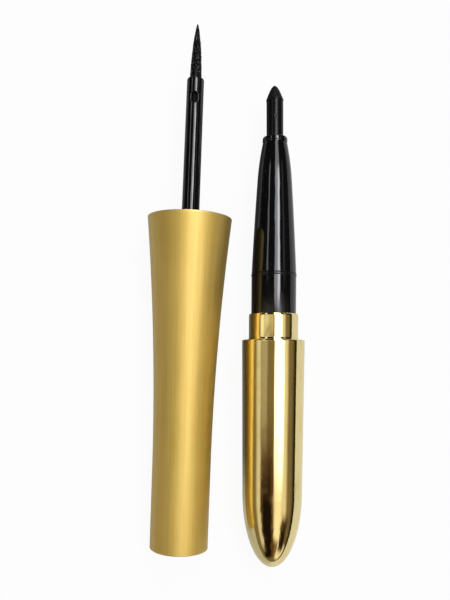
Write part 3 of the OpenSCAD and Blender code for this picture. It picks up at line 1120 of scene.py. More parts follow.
@dataclass(frozen=True)
class PencilSocket(Part):
    """Liner in the handle's narrow end, into which the pencil plugs, and the soft seal for its nose.

    Attributes:
        sleeve: the sleeve round it.
        land_r: radius of the land for the pencil's collar, from the record.
        bore_r: radius of the bore past the land.
        seat_r: radius of the seal's seat.
        wall: wall round that seat.
        rim_z: height of the liner's rim.
        land_z: height of the land's end.
        straight_z: height of the end of the straight bore.
        seal_z: height of the seal's lip.
        floor_z: height of the blind end inside.
        disc_z: heights of the disc that centres the blind end in the sleeve.
        lip_r: radius of the seal's lip.
        lip: half the width of the lip, and its height.
        cup_r: radius of the seal's bore.
        nose_z: height of the nose's mouth when the pen is closed.
        cup_z: height of the seal's floor.
    """

    sleeve: Sleeve
    land_r: float
    bore_r: float = 4.62
    seat_r: float = 3.6
    wall: float = 0.6
    rim_z: float = 0.4
    land_z: float = 5.55
    straight_z: float = 14.0
    seal_z: float = 35.4
    floor_z: float = 42.85
    disc_z: Span = (42.35, 43.95)
    lip_r: float = 3.3
    lip: float = 0.25
    cup_r: float = 2.74
    nose_z: float = 40.0
    cup_z: float = 41.9

    def liner(self) -> Skin:
        """From the middle of the blind end down the bore to the rim, and up the outside.

        Returns:
            The surface.
        """
        low, high = self.disc_z
        back_r = self.seat_r + self.wall
        rim_r, disc_r = self.sleeve.seat_at(0), self.sleeve.seat_at(low)
        corners = [
            (0, self.floor_z, 0), (self.seat_r, self.floor_z, 0.3), (self.seat_r, self.seal_z, 1.5),
            (self.bore_r, self.straight_z, 1.5), (self.bore_r, self.land_z, 0.12),
            (self.land_r, self.land_z, 0.1), (self.land_r, self.rim_z, 0.12), (rim_r, self.rim_z, 0.06),
            (rim_r, self.straight_z, 0.5), (back_r, self.seal_z, 0.5), (back_r, low, 0.2),
            (disc_r, low, 0.1), (disc_r, high, 0.1), (0, high, 0),
        ]
        return self.turned(corners, longest=1.5)

    def seal(self) -> Skin:
        """Floor and bore down to the lip round the mouth, and up the outside.

        Returns:
            The surface.
        """
        edge_z = self.seal_z + self.lip
        side_r, top_z = self.seat_r - PUSH_GAP, self.floor_z - PUSH_GAP
        corners = [
            (0, self.cup_z, 0), (self.cup_r, self.cup_z, 0.3), (self.cup_r, self.nose_z, 0.4),
            (self.lip_r - self.lip, edge_z, 0.15), (self.lip_r, self.seal_z, 0.1), (side_r, edge_z, 0.15),
            (side_r, top_z, 0.2), (0, top_z, 0),
        ]
        return self.turned(corners, longest=0.8)

    def dress(self) -> list[bpy.types.Object]:
        """Makes the liner and the seal.

        Returns:
            Both pieces.
        """
        return [
            add_piece("pencil_socket", [self.liner()], Body.HANDLE, LINER_PLASTIC, "socket_liner"),
            add_piece("nose_seal", [self.seal()], Body.HANDLE, SEAL_PLASTIC, "seal_cup"),
        ]


@dataclass(frozen=True)
class BottleMouth(Part):
    """Liner in the handle's flared mouth, with a boss for the stem, and the thread for a bottle's neck.

    Attributes:
        sleeve: the sleeve round it.
        face_z: height of its face, where the record's bottle mount is.
        chamber_z: height of the threaded chamber's floor.
        floor_z: height of the floor's underside.
        flange_z: height of the flange's underside.
        boss_z: height of the boss's end.
        boss_r: radius of the boss.
        bore_r: radius of the chamber.
        cup_r: outside radius of the chamber's wall.
        thread_z: height of the thread's start.
        pitch: rise of the thread in a turn.
        turns: turns of the thread.
        run_in: turns over which it runs in and out.
        depth: height of its ridge.
        ridge: half widths of the ridge at its top and at its foot.
        ribs: number of ribs between the chamber's wall and the sleeve.
        rib_z: heights between which they stand.
        rib: half the width of a rib.
        rib_root: how deep a rib's foot lies in the chamber's wall.
        chamfer: chamfer of its edges across it, and as a share of its depth.
        gasket: outside and inside radius and height of the foam ring on the floor.
        fineness: longest side of the liner's outline, for the thread's sake.
    """

    sleeve: Sleeve
    face_z: float = 64.6
    chamber_z: float = 53.2
    floor_z: float = 51.8
    flange_z: float = 63.5
    boss_z: float = 48.8
    boss_r: float = 2.98
    bore_r: float = 4.95
    cup_r: float = 5.85
    thread_z: float = 56.0
    pitch: float = 2.4
    turns: float = 2.3
    run_in: float = 0.25
    depth: float = 0.42
    ridge: Span = (0.22, 0.62)
    ribs: int = 6
    rib_z: Span = (52.6, 64.0)
    rib: float = 0.4
    rib_root: float = 0.25
    chamfer: float = 0.12
    gasket: tuple[float, float, float] = (4.9, 3.0, 0.8)
    fineness: float = 0.12

    def liner(self) -> Skin:
        """Boss, floor, wall and flange outside, and the threaded chamber inside.

        The thread is a ridge on the bore. At height z and angle a its nearest turn is n = round(p), where
        p = (z - z0) / pitch - a / (2 pi), and its relief falls off with |p - n| times the pitch.

        Returns:
            The surface.
        """
        floor_r, flange_r = self.sleeve.seat_at(self.floor_z), self.sleeve.seat_at(self.flange_z)
        corners = [
            (0, self.boss_z, 0), (self.boss_r, self.boss_z, 0.15), (self.boss_r, self.floor_z, 0.15),
            (floor_r, self.floor_z, 0.1), (floor_r, self.chamber_z, 0.1), (self.cup_r, self.chamber_z, 0.15),
            (self.cup_r, self.flange_z, 0.15), (flange_r, self.flange_z, 0.1), (flange_r, self.face_z, 0.1),
            (self.bore_r, self.face_z, 0.2), (self.bore_r, self.chamber_z, 0.12), (0, self.chamber_z, 0),
        ]
        radius, height = spread(spaced(rounded(corners), self.fineness), COLUMNS)
        around = column_angles(COLUMNS)
        turn = np.arctan2(np.sin(around), np.cos(around))
        phase = (height - self.thread_z) / self.pitch - turn / TAU
        nearest = np.round(phase)
        travelled = nearest + turn / TAU
        ridge = 1 - smooth_step(np.abs(phase - nearest) * self.pitch, *self.ridge)
        starts = smooth_step(travelled, 0, self.run_in)
        ends = 1 - smooth_step(travelled, self.turns - self.run_in, self.turns)
        on_bore = np.abs(radius - self.bore_r) < ON_LINE
        return self.lie.skin(radius - self.depth * ridge * (starts * ends) * on_bore, height)

    def rib_at(self, angle: float) -> Skin:
        """One of the ribs.

        A rectangle with chamfered corners stands on the floor and leans out with the sleeve up to the flange.

        Args:
            angle: its angle round the axis.

        Returns:
            The surface.
        """
        low, high = self.rib_z
        half, chamfer = self.rib, self.chamfer
        flat = half - chamfer
        inner_r = self.cup_r - self.rib_root
        level = np.array((low, low, high, high))[:, None]
        reach = np.array([self.sleeve.seat_at(height) for height in (low, low, high - half, high - half)])
        side = np.array((-flat, flat, half, half, flat, -flat, -half, -half))
        far = np.array((0, 0, chamfer, 1 - chamfer, 1, 1, 1 - chamfer, chamfer))
        out = inner_r + (reach[:, None] - inner_r) * far
        across = np.broadcast_to(side, out.shape).copy()
        out[[0, -1]] = out[[0, -1]].mean(axis=1, keepdims=True)
        across[[0, -1]] = 0
        x = out * math.cos(angle) - across * math.sin(angle)
        y = out * math.sin(angle) + across * math.cos(angle)
        points = self.lie.place(x, y, np.broadcast_to(level, x.shape))
        return Skin(points[:, ::-1], np.zeros_like(points))

    def foam(self) -> Skin:
        """Flat foam ring on the chamber's floor.

        Returns:
            The surface.
        """
        outer, inner, thick = self.gasket
        low = self.chamber_z + SEAT_GAP
        corners = [
            (outer, low, 0.1), (outer, low + thick, 0.2), (inner, low + thick, 0.2), (inner, low, 0.1),
        ]
        return self.turned(corners, ring=True, columns=GASKET_COLUMNS)

    def dress(self) -> list[bpy.types.Object]:
        """Makes the liner with its ribs, and the gasket.

        Returns:
            Both pieces.
        """
        skins = [self.liner()] + [self.rib_at(angle) for angle in np.arange(self.ribs) * TAU / self.ribs]
        return [
            add_piece("threaded_liner", skins, Body.HANDLE, LINER_PLASTIC, "wand_liner"),
            add_piece("foam_gasket", [self.foam()], Body.HANDLE, OpenFoam(), "neck_gasket"),
        ]


@dataclass(frozen=True)
class Wand(Part):
    """Stem and felt nib.

    Attributes:
        chamber_z: height of the chamber's floor, on which the stem's flange sits.
        root_z: height of the root's end.
        seat_z: height of the top of the bead that snaps behind the boss.
        tip_z: height of the stem's end.
        tip_r: radius of the stem there.
        draft: draft of the stem, in degrees.
        lean: how far the stem leans over to the side, in degrees.
        bead: how far the bead stands out.
        bead_z: heights between which it is full.
        slopes: lengths of its slopes under and above.
        flange: radius and height of the flange.
        flare: how much thicker the shaft is where it leaves the flange.
        eyelet: width and length of the eyelet.
        setback: from the stem's end to the eyelet's middle.
        soft: width of the softened edge round the eyelet.
        reach: how far the hole's prism goes under and above the axis.
        sides: sides of its oval.
        finer: how far past the eyelet the rows are finer, and how far apart they are there.
        felt_r: radius of the felt.
        felt: bare length of the felt.
        felt_root: length of the felt in the stem.
        air: length of the air behind the felt's root.
        hairs: depth of the fibres and of the tufts.
        fade: where the hairs are full on the way out of the stem, from its end, and where they start to be.
        thin: radius under which the point's hairs fade.
    """

    chamber_z: float = 53.2
    root_z: float = 49.2
    seat_z: float = 50.2
    tip_z: float = 91.9
    tip_r: float = 1.64
    draft: float = 0.15
    lean: float = 0.26
    bead: float = 0.2
    bead_z: Span = (49.5, 50.1)
    slopes: Span = (0.22, 0.08)
    flange: Span = (2.7, 0.8)
    flare: float = 0.02
    eyelet: Span = (1.3, 2.05)
    setback: float = 4.0
    soft: float = 0.16
    reach: float = 2.4
    sides: int = 64
    finer: Span = (0.35, 0.05)
    felt_r: float = 1.19
    felt: float = 10.5
    felt_root: float = 6.4
    air: float = 0.4
    hairs: Span = (0.075, 0.05)
    fade: Span = (0.2, -6.0)
    thin: float = 0.5

    def radius_at(self, height: float) -> float:
        """Radius of the drafted stem."""
        return self.tip_r + (self.tip_z - height) * math.tan(math.radians(self.draft))

    def shaft(self) -> Skin:
        """Root, bead, flange and shaft up to the felt's bore, with a softened edge round the eyelet.

        The edge drops by f - sqrt(f^2 - (f - d)^2) within a distance d < f of the eyelet's oval.

        Returns:
            The surface.
        """
        root_r = self.radius_at(self.seat_z)
        foot_r = self.radius_at(self.chamber_z) + self.flare
        bead_r = root_r + self.bead
        (bead_low, bead_high), (under, above) = self.bead_z, self.slopes
        flange_r, flange_z = self.flange[0], self.chamber_z + SEAT_GAP
        top_z = flange_z + self.flange[1]
        bore_r, blind_z = self.felt_r + SEAT_GAP, self.tip_z - self.felt_root - self.air
        corners = [
            (0, self.root_z, 0), (root_r, self.root_z, 0.15), (root_r, bead_low - under, 0),
            (bead_r, bead_low, 0.1), (bead_r, bead_high, 0.1), (root_r, bead_high + above, 0),
            (root_r, flange_z, 0), (flange_r, flange_z, 0.1), (flange_r, top_z, 0.25),
            (foot_r, top_z, 0.2), (self.tip_r, self.tip_z, 0.42), (bore_r, self.tip_z, 0.08),
            (bore_r, blind_z, 0.1), (0, blind_z, 0),
        ]
        outline = spaced(rounded(corners), 0.8)
        middle = self.tip_z - self.setback
        (width, length), (margin, step) = self.eyelet, self.finer
        near = np.abs(outline[:-1, 1] - middle) < length + margin
        near &= np.arange(len(near)) < np.argmax(outline[:, 1])
        outline = spaced(outline, np.where(near, step, math.inf))
        radius, height = spread(outline, COLUMNS)
        outside = (np.arange(len(outline)) <= np.argmax(outline[:, 1]))[:, None]
        turn = column_angles(COLUMNS)
        by_the_holes = outside * (np.abs(np.sin(turn)) > 0.5)
        past = np.maximum(0, np.abs(height - middle) - (length - width) / 2)
        away = np.hypot(radius * np.cos(turn), past) - width / 2
        inset = np.clip(self.soft - away, 0, self.soft)
        drop = (self.soft - np.sqrt(self.soft**2 - inset**2)) * by_the_holes
        return self.lie.skin(radius - drop, height)

    def eyelet_prism(self) -> Skin:
        """Oval prism of the eyelet: two half circles and the sides between them.

        Returns:
            The closed prism.
        """
        width, length = self.eyelet
        angle = TAU * np.arange(self.sides) / self.sides
        shift = np.sign(np.sin(angle)) * (length - width) / 2
        across, along = width / 2 * np.cos(angle), width / 2 * np.sin(angle) + shift
        return self.lie.prism(across[::-1], along[::-1] + self.tip_z - self.setback, self.reach)

    def nib(self) -> Skin:
        """Round root and long full point, roughened inwards by fibres and tufts.

        At a share t of the felt's length down from the tip, the radius is r t^0.66 (1.4 - 0.4 t). The hairs
        are a quarter as deep at the root.

        Returns:
            The surface.
        """
        t = np.linspace(1, 0, 260) ** 1.2
        point = np.column_stack((self.felt_r * t**0.66 * (1.4 - 0.4 * t), self.tip_z + self.felt * (1 - t)))
        low = self.tip_z - self.felt_root
        root = np.array(((0, low), (self.felt_r, low), (self.felt_r, self.tip_z)))
        outline = np.vstack((spaced(root, 0.12)[:-1], point))
        radius, height = spread(outline, GRAINY_COLUMNS)
        fibre = rough_field(radius.shape, 26, 4, seed=3)
        tuft = rough_field(radius.shape, 9, 9, seed=4)
        full, start = self.fade
        share = smooth_step(height, self.tip_z + start, self.tip_z + full) * 0.75 + 0.25
        hairs = self.hairs[0] * fibre + self.hairs[1] * tuft
        depth = hairs * share * np.minimum(1, radius / self.thin)
        return self.lie.skin(np.maximum(0, radius - depth), height)

    def dress(self) -> list[bpy.types.Object]:
        """Makes the stem and the nib.

        Returns:
            Both pieces.
        """
        stem = add_piece("liner_stem", [self.shaft()], Body.HANDLE, GlossBlack(dust=0.03), "wand_stem")
        pierce(stem, self.eyelet_prism())
        return [stem, add_piece("felt_nib", [self.nib()], Body.HANDLE, InkedFelt(), "felt_tip")]


@dataclass(frozen=True)
class BulletBase(Part):
    """Mirror-gold bullet and collar, and the black grip tube between them and the nose.

    Attributes:
        collar_r: radius of the collar, from the record.
        length: length of the bullet.
        straight: length of its drafted stretch.
        draft: draft of that stretch, in degrees.
        mouth_r: radius of the bullet at its shoulder.
        wall: wall of the shell.
        lip_r: radius inside the turned-in shoulder.
        under: a place on the side under the shoulder: how far in and how far down it is.
        collar_z: heights of the skirt's end and of the rim.
        skirt_r: radius of the skirt.
        collar_bore_r: radius inside the collar.
        rest_z: height of the underside of the collar's foot.
        foot: how far the foot stands out, its height, and the length of its slope.
        grip_r: radius of the grip tube.
        grip_bore_r: radius inside it.
        tail_z: height of the tube's hidden end.
        seam_z: height of the seam under the nose, from the record's joint.
        bead: how far the bead at the seam stands out.
        swell: how far under the seam the bead starts and is full.
        snap: from the seam down to the groove for the nose's snap.
        groove: depth, half width and length of the slopes of that groove.
    """

    collar_r: float
    length: float = 45.1
    straight: float = 30.3
    draft: float = 0.56
    mouth_r: float = 6.2
    wall: float = 0.45
    lip_r: float = 4.76
    under: Span = (0.02, 2.0)
    collar_z: Span = (-8.0, 5.15)
    skirt_r: float = 4.71
    collar_bore_r: float = 4.52
    rest_z: float = 0.01
    foot: tuple[float, float, float] = (0.07, 0.16, 0.18)
    grip_r: float = 4.43
    grip_bore_r: float = 3.9
    tail_z: float = -25.3
    seam_z: float = 13.0
    bead: float = 0.07
    swell: Span = (0.4, 0.3)
    snap: float = 5.5
    groove: tuple[float, float, float] = (0.13, 0.44, 0.04)

    def side_at(self, inset: float, steps: int) -> np.ndarray:
        """Line from the axis at the tip, over half an ellipse, to the end of the drafted stretch.

        Args:
            inset: how far it lies inside the bullet's surface.
            steps: straight steps in the ellipse.

        Returns:
            The points.
        """
        side = self.mouth_r - self.straight * math.tan(math.radians(self.draft)) - inset
        angle = TAU / 4 * (1 - np.linspace(0, 1, steps + 1))
        tip = self.length - self.straight - inset
        points = np.column_stack((side * np.cos(angle), -self.straight - tip * np.sin(angle)))
        points[0, 0] = 0
        return points

    def shell(self) -> Skin:
        """From the tip up the outside, over the turned-in shoulder, and down the inside to the tip.

        Returns:
            The surface.
        """
        inner_r = self.mouth_r - self.wall
        inwards, down = self.under
        shoulder = rounded([
            (self.mouth_r - inwards, -down, 0), (self.mouth_r, 0, 0.22), (self.lip_r, 0, 0.06),
            (self.lip_r, -self.wall, 0.05), (inner_r, -self.wall, 0.1), (inner_r, -down, 0),
        ])
        outline = np.vstack((self.side_at(0, 72), shoulder, self.side_at(self.wall, 48)[::-1]))
        return self.lie.skin(*spread(spaced(outline, 0.9), COLUMNS))

    def collar(self) -> Skin:
        """Skirt, a small foot on the shoulder, the ring and its rounded rim, and the bore.

        Returns:
            The surface.
        """
        (low, high), bore_r = self.collar_z, self.collar_bore_r
        out, foot_z, slope = self.foot
        foot_r = self.collar_r + out
        corners = [
            (self.skirt_r, low, 0.1), (self.skirt_r, self.rest_z, 0), (foot_r, self.rest_z, 0.03),
            (foot_r, foot_z, 0.06), (self.collar_r, foot_z + slope, 0.12), (self.collar_r, high, 0.3),
            (bore_r, high, 0.06), (bore_r, low, 0.1),
        ]
        return self.turned(corners, longest=0.8, ring=True)

    def grip(self) -> Skin:
        """Tube with a bead at the seam and the groove for the nose's snap inside.

        Returns:
            The surface.
        """
        depth, half, slope = self.groove
        start, full = self.swell
        seam_z, middle = self.seam_z, self.seam_z - self.snap
        bead_r, bore_r, groove_r = self.grip_r + self.bead, self.grip_bore_r, self.grip_bore_r + depth
        corners = [
            (self.grip_r, self.tail_z, 0.1), (self.grip_r, seam_z - start, 0.08),
            (bead_r, seam_z - full, 0.08), (bead_r, seam_z, 0.12), (bore_r, seam_z, 0.1),
            (bore_r, middle + half + slope, 0.03), (groove_r, middle + half, 0.03),
            (groove_r, middle - half, 0.03), (bore_r, middle - half - slope, 0.03),
            (bore_r, self.tail_z, 0.1),
        ]
        return self.turned(corners, longest=1.0, ring=True)

    def dress(self) -> list[bpy.types.Object]:
        """Makes the base's pieces and finishes what stays inside it.

        Returns:
            All of them.
        """
        plated = MirrorGold(waves=0.02, haze=0.14)
        return [
            add_piece("bullet", [self.shell()], Body.PENCIL, MirrorGold(), "bullet_shell"),
            add_piece("collar", [self.collar()], Body.PENCIL, plated, "collar_ring"),
            add_piece("grip_tube", [self.grip()], Body.PENCIL, GlossBlack(dust=0.12), "grip_sleeve"),
            dress_node("bullet_core", LINER_PLASTIC),
            dress_node("spiral_sleeve", ACETAL),
            dress_node("tail_plug", ACETAL),
        ]


@dataclass(frozen=True)
class TwistNose(Part):
    """Black nose cone, which turns on the grip tube.

    Attributes:
        seam_z: height of the seam, from the record's joint.
        base_z: height of the taper's foot, just above the seam.
        mouth_z: height of the mouth.
        base_r: radius of the taper's foot.
        shoulder: radius and height where the taper starts to round in.
        neck: radius and height under the lip.
        bow: how far the taper bows out.
        lip: radius of the lip, and height of its underside.
        mouth_r: radius of the mouth.
        throat: radius and height of the end of the wider bore behind the mouth.
        guide: radius and height of the end of the guide tube's seat.
        spigot_r: radius of the spigot in the grip tube.
        spigot: length of the spigot.
        ring: from the seam down to the rubber ring.
        groove: radius and half width of the ring's groove.
        snap: from the seam down to the snap bead.
        bead: how far the bead stands out.
        swell: half its length at its foot and at its top.
    """

    seam_z: float = 13.0
    base_z: float = 13.08
    mouth_z: float = 40.0
    base_r: float = 4.42
    shoulder: Span = (3.4, 31.63)
    neck: Span = (2.4, 39.0)
    bow: float = 0.05
    lip: Span = (2.46, 39.12)
    mouth_r: float = 1.87
    throat: Span = (2.3, 35.2)
    guide: Span = (2.8, 13.35)
    spigot_r: float = 3.82
    spigot: float = 7.3
    ring: float = 3.0
    groove: Span = (3.24, 0.35)
    snap: float = 5.5
    bead: float = 0.13
    swell: Span = (0.4, 0.2)

    def outside(self) -> np.ndarray:
        """Taper with a slight bow of 4 b t (1 - t), then an arc tangent to its end, up to the neck.

        Returns:
            The points, from the seam up.
        """
        base, shoulder, neck = np.array(((self.base_r, self.base_z), self.shoulder, self.neck))
        t = np.linspace(0, 1, 25)
        bow = np.column_stack((4 * self.bow * t * (1 - t), np.zeros_like(t)))
        taper = base + (shoulder - base) * t[:, None] + bow
        run = taper[-1] - taper[-2]
        arc = arc_on(shoulder, neck, math.atan2(-run[0], run[1]), 24)
        return np.vstack((taper, arc[1:]))

    def cone(self) -> Skin:
        """Spigot with its seal groove and snap bead, the outside, the lip, and the bores inside.

        Returns:
            The surface.
        """
        spigot_r, bead_r = self.spigot_r, self.spigot_r + self.bead
        low, ring_z, snap_z = (self.seam_z - down for down in (self.spigot, self.ring, self.snap))
        (groove_r, half), (wide, narrow) = self.groove, self.swell
        (lip_r, lip_z), (throat_r, throat_z), (guide_r, guide_z) = self.lip, self.throat, self.guide
        foot = [
            (spigot_r, low, 0.1), (spigot_r, snap_z - wide, 0.05), (bead_r, snap_z - narrow, 0.1),
            (bead_r, snap_z + narrow, 0.1), (spigot_r, snap_z + wide, 0.05), (spigot_r, ring_z - half, 0.03),
            (groove_r, ring_z - half, 0.05), (groove_r, ring_z + half, 0.05),
            (spigot_r, ring_z + half, 0.03), (spigot_r, self.base_z, 0.05), (self.base_r, self.base_z, 0.1),
        ]
        outside = self.outside()[1:]
        inside = [
            (lip_r, lip_z, 0.06), (lip_r, self.mouth_z, 0.36), (self.mouth_r, self.mouth_z, 0.1),
            (self.mouth_r, throat_z, 0.1), (throat_r, throat_z, 0.1), (throat_r, guide_z, 0.05),
            (guide_r, guide_z, 0.05), (guide_r, low, 0.1),
        ]
        corners = np.vstack((foot, np.column_stack((outside, np.zeros(len(outside)))), inside))
        return self.turned(corners, longest=1.2, ring=True)

    def dress(self) -> list[bpy.types.Object]:
        """Makes the cone and finishes what turns with it.

        Returns:
            All of them.
        """
        return [
            add_piece("nose", [self.cone()], Body.NOSE, GlossBlack(), "nose_cone"),
            dress_node("guide_tube", ACETAL),
            dress_node("twist_o_ring", RING_RUBBER),
        ]


@dataclass(frozen=True)
class Crayon(Part):
    """Gel crayon, which slides in the nose.

    Attributes:
        rear_z: height of its rear end.
        tip_z: height of its point.
        stick_r: radius of the stick.
        point: length of the cut point.
        burr: how far the burr under the point stands out.
        swell: how far under the point the burr starts and is full.
        lumps: how far noise waves the burr's edge and the cut face.
        worn: how far the burr's edge is worn down.
        nick: depth and half length of the nick, half its width, and how far under the point it is.
        bend: how far the tip leans over to the side.
    """

    rear_z: float = 16.3
    tip_z: float = 50.3
    stick_r: float = 1.66
    point: float = 2.85
    burr: float = 0.08
    swell: Span = (0.34, 0.1)
    lumps: Span = (0.07, 0.05)
    worn: float = 0.02
    nick: tuple[float, float, float, float] = (0.05, 0.28, 0.2, 3.6)
    bend: float = -0.14

    def stick(self) -> Skin:
        """Stick, the burr that the cut has raised, and the point.

        At a distance d from the tip the point's radius is r (d / point)^0.55. Noise waves the burr's edge and
        the cut face, a small nick is pressed into the side as a bell of the distance from its middle, and the
        stick bends over to the side by the square of its share of the upper half.

        Returns:
            The surface.
        """
        start, burr_r = self.tip_z - self.point, self.stick_r + self.burr
        rise, full = self.swell
        share = np.linspace(1, 0, 40)[1:] ** 1.8
        point = np.column_stack((self.stick_r * share**0.55, self.tip_z - self.point * share))
        side = rounded([
            (0, self.rear_z, 0), (self.stick_r, self.rear_z, 0.15), (self.stick_r, start - rise, 0.1),
            (burr_r, start - full, 0.05), (burr_r, start, 0.03), (*point[0], 0),
        ])
        radius, height = spread(spaced(np.vstack((side[:-1], point)), 0.12), GRAINY_COLUMNS)
        noise = rough_field(radius.shape, 10, 18, seed=8) - 0.5
        edge = bell(height, start, 0.14)
        cut = smooth_step(height, start, start + 0.2) * np.minimum(1, radius / 0.6)
        wave = noise * (self.lumps[0] * edge + self.lumps[1] * cut)
        depth, long, wide, under = self.nick
        nick = bell(height, start - under, long)
        nick = nick * bell(column_angles(GRAINY_COLUMNS), TAU / 4, wide / self.stick_r)
        radius = radius + wave - depth * nick - self.worn * edge
        skin = self.lie.skin(np.maximum(0, radius), height)
        middle = (self.rear_z + self.tip_z) / 2
        lean = self.bend * MM * (np.maximum(0, height - middle) / (self.tip_z - middle)) ** 2
        return Skin(skin.points + lean[..., None] * self.lie.side, skin.wrap)

    def dress(self) -> list[bpy.types.Object]:
        """Makes the crayon and finishes its carrier.

        Returns:
            Both of them.
        """
        finish = GelBlack(self.tip_z - self.point)
        crayon = add_piece("crayon", [self.stick()], Body.LEAD, finish, "gel_lead")
        return [crayon, dress_node("lead_carrier", ACETAL)]


# Studio


Reach = tuple[float, float, float, float]
ROUND: Reach = (-181.0, -180.0, 180.0, 181.0)
LOWER: Reach = (-91.0, -90.0, 4.9, 5.7)
STRIP: Reach = (-14.0, -8.0, 4.9, 5.7)
UPPER: Reach = (4.9, 5.7, 25.0, 30.0)


@dataclass(frozen=True)
class Patch:
    """One soft-edged patch of the room overhead, as seen from the table.

    A reach is where the patch starts, is full, starts to end and has ended, in degrees from straight up.

    Attributes:
        colour: its brightness in each colour.
        across: its reach to the right.
        ahead: its reach along the table, towards the felt tip.
    """

    colour: Colour
    across: Reach
    ahead: Reach = ROUND

    def mask(self, across: Socket, ahead: Socket) -> Socket:
        """1 inside the patch and 0 outside it."""
        return across.band(*self.across) * ahead.band(*self.ahead)


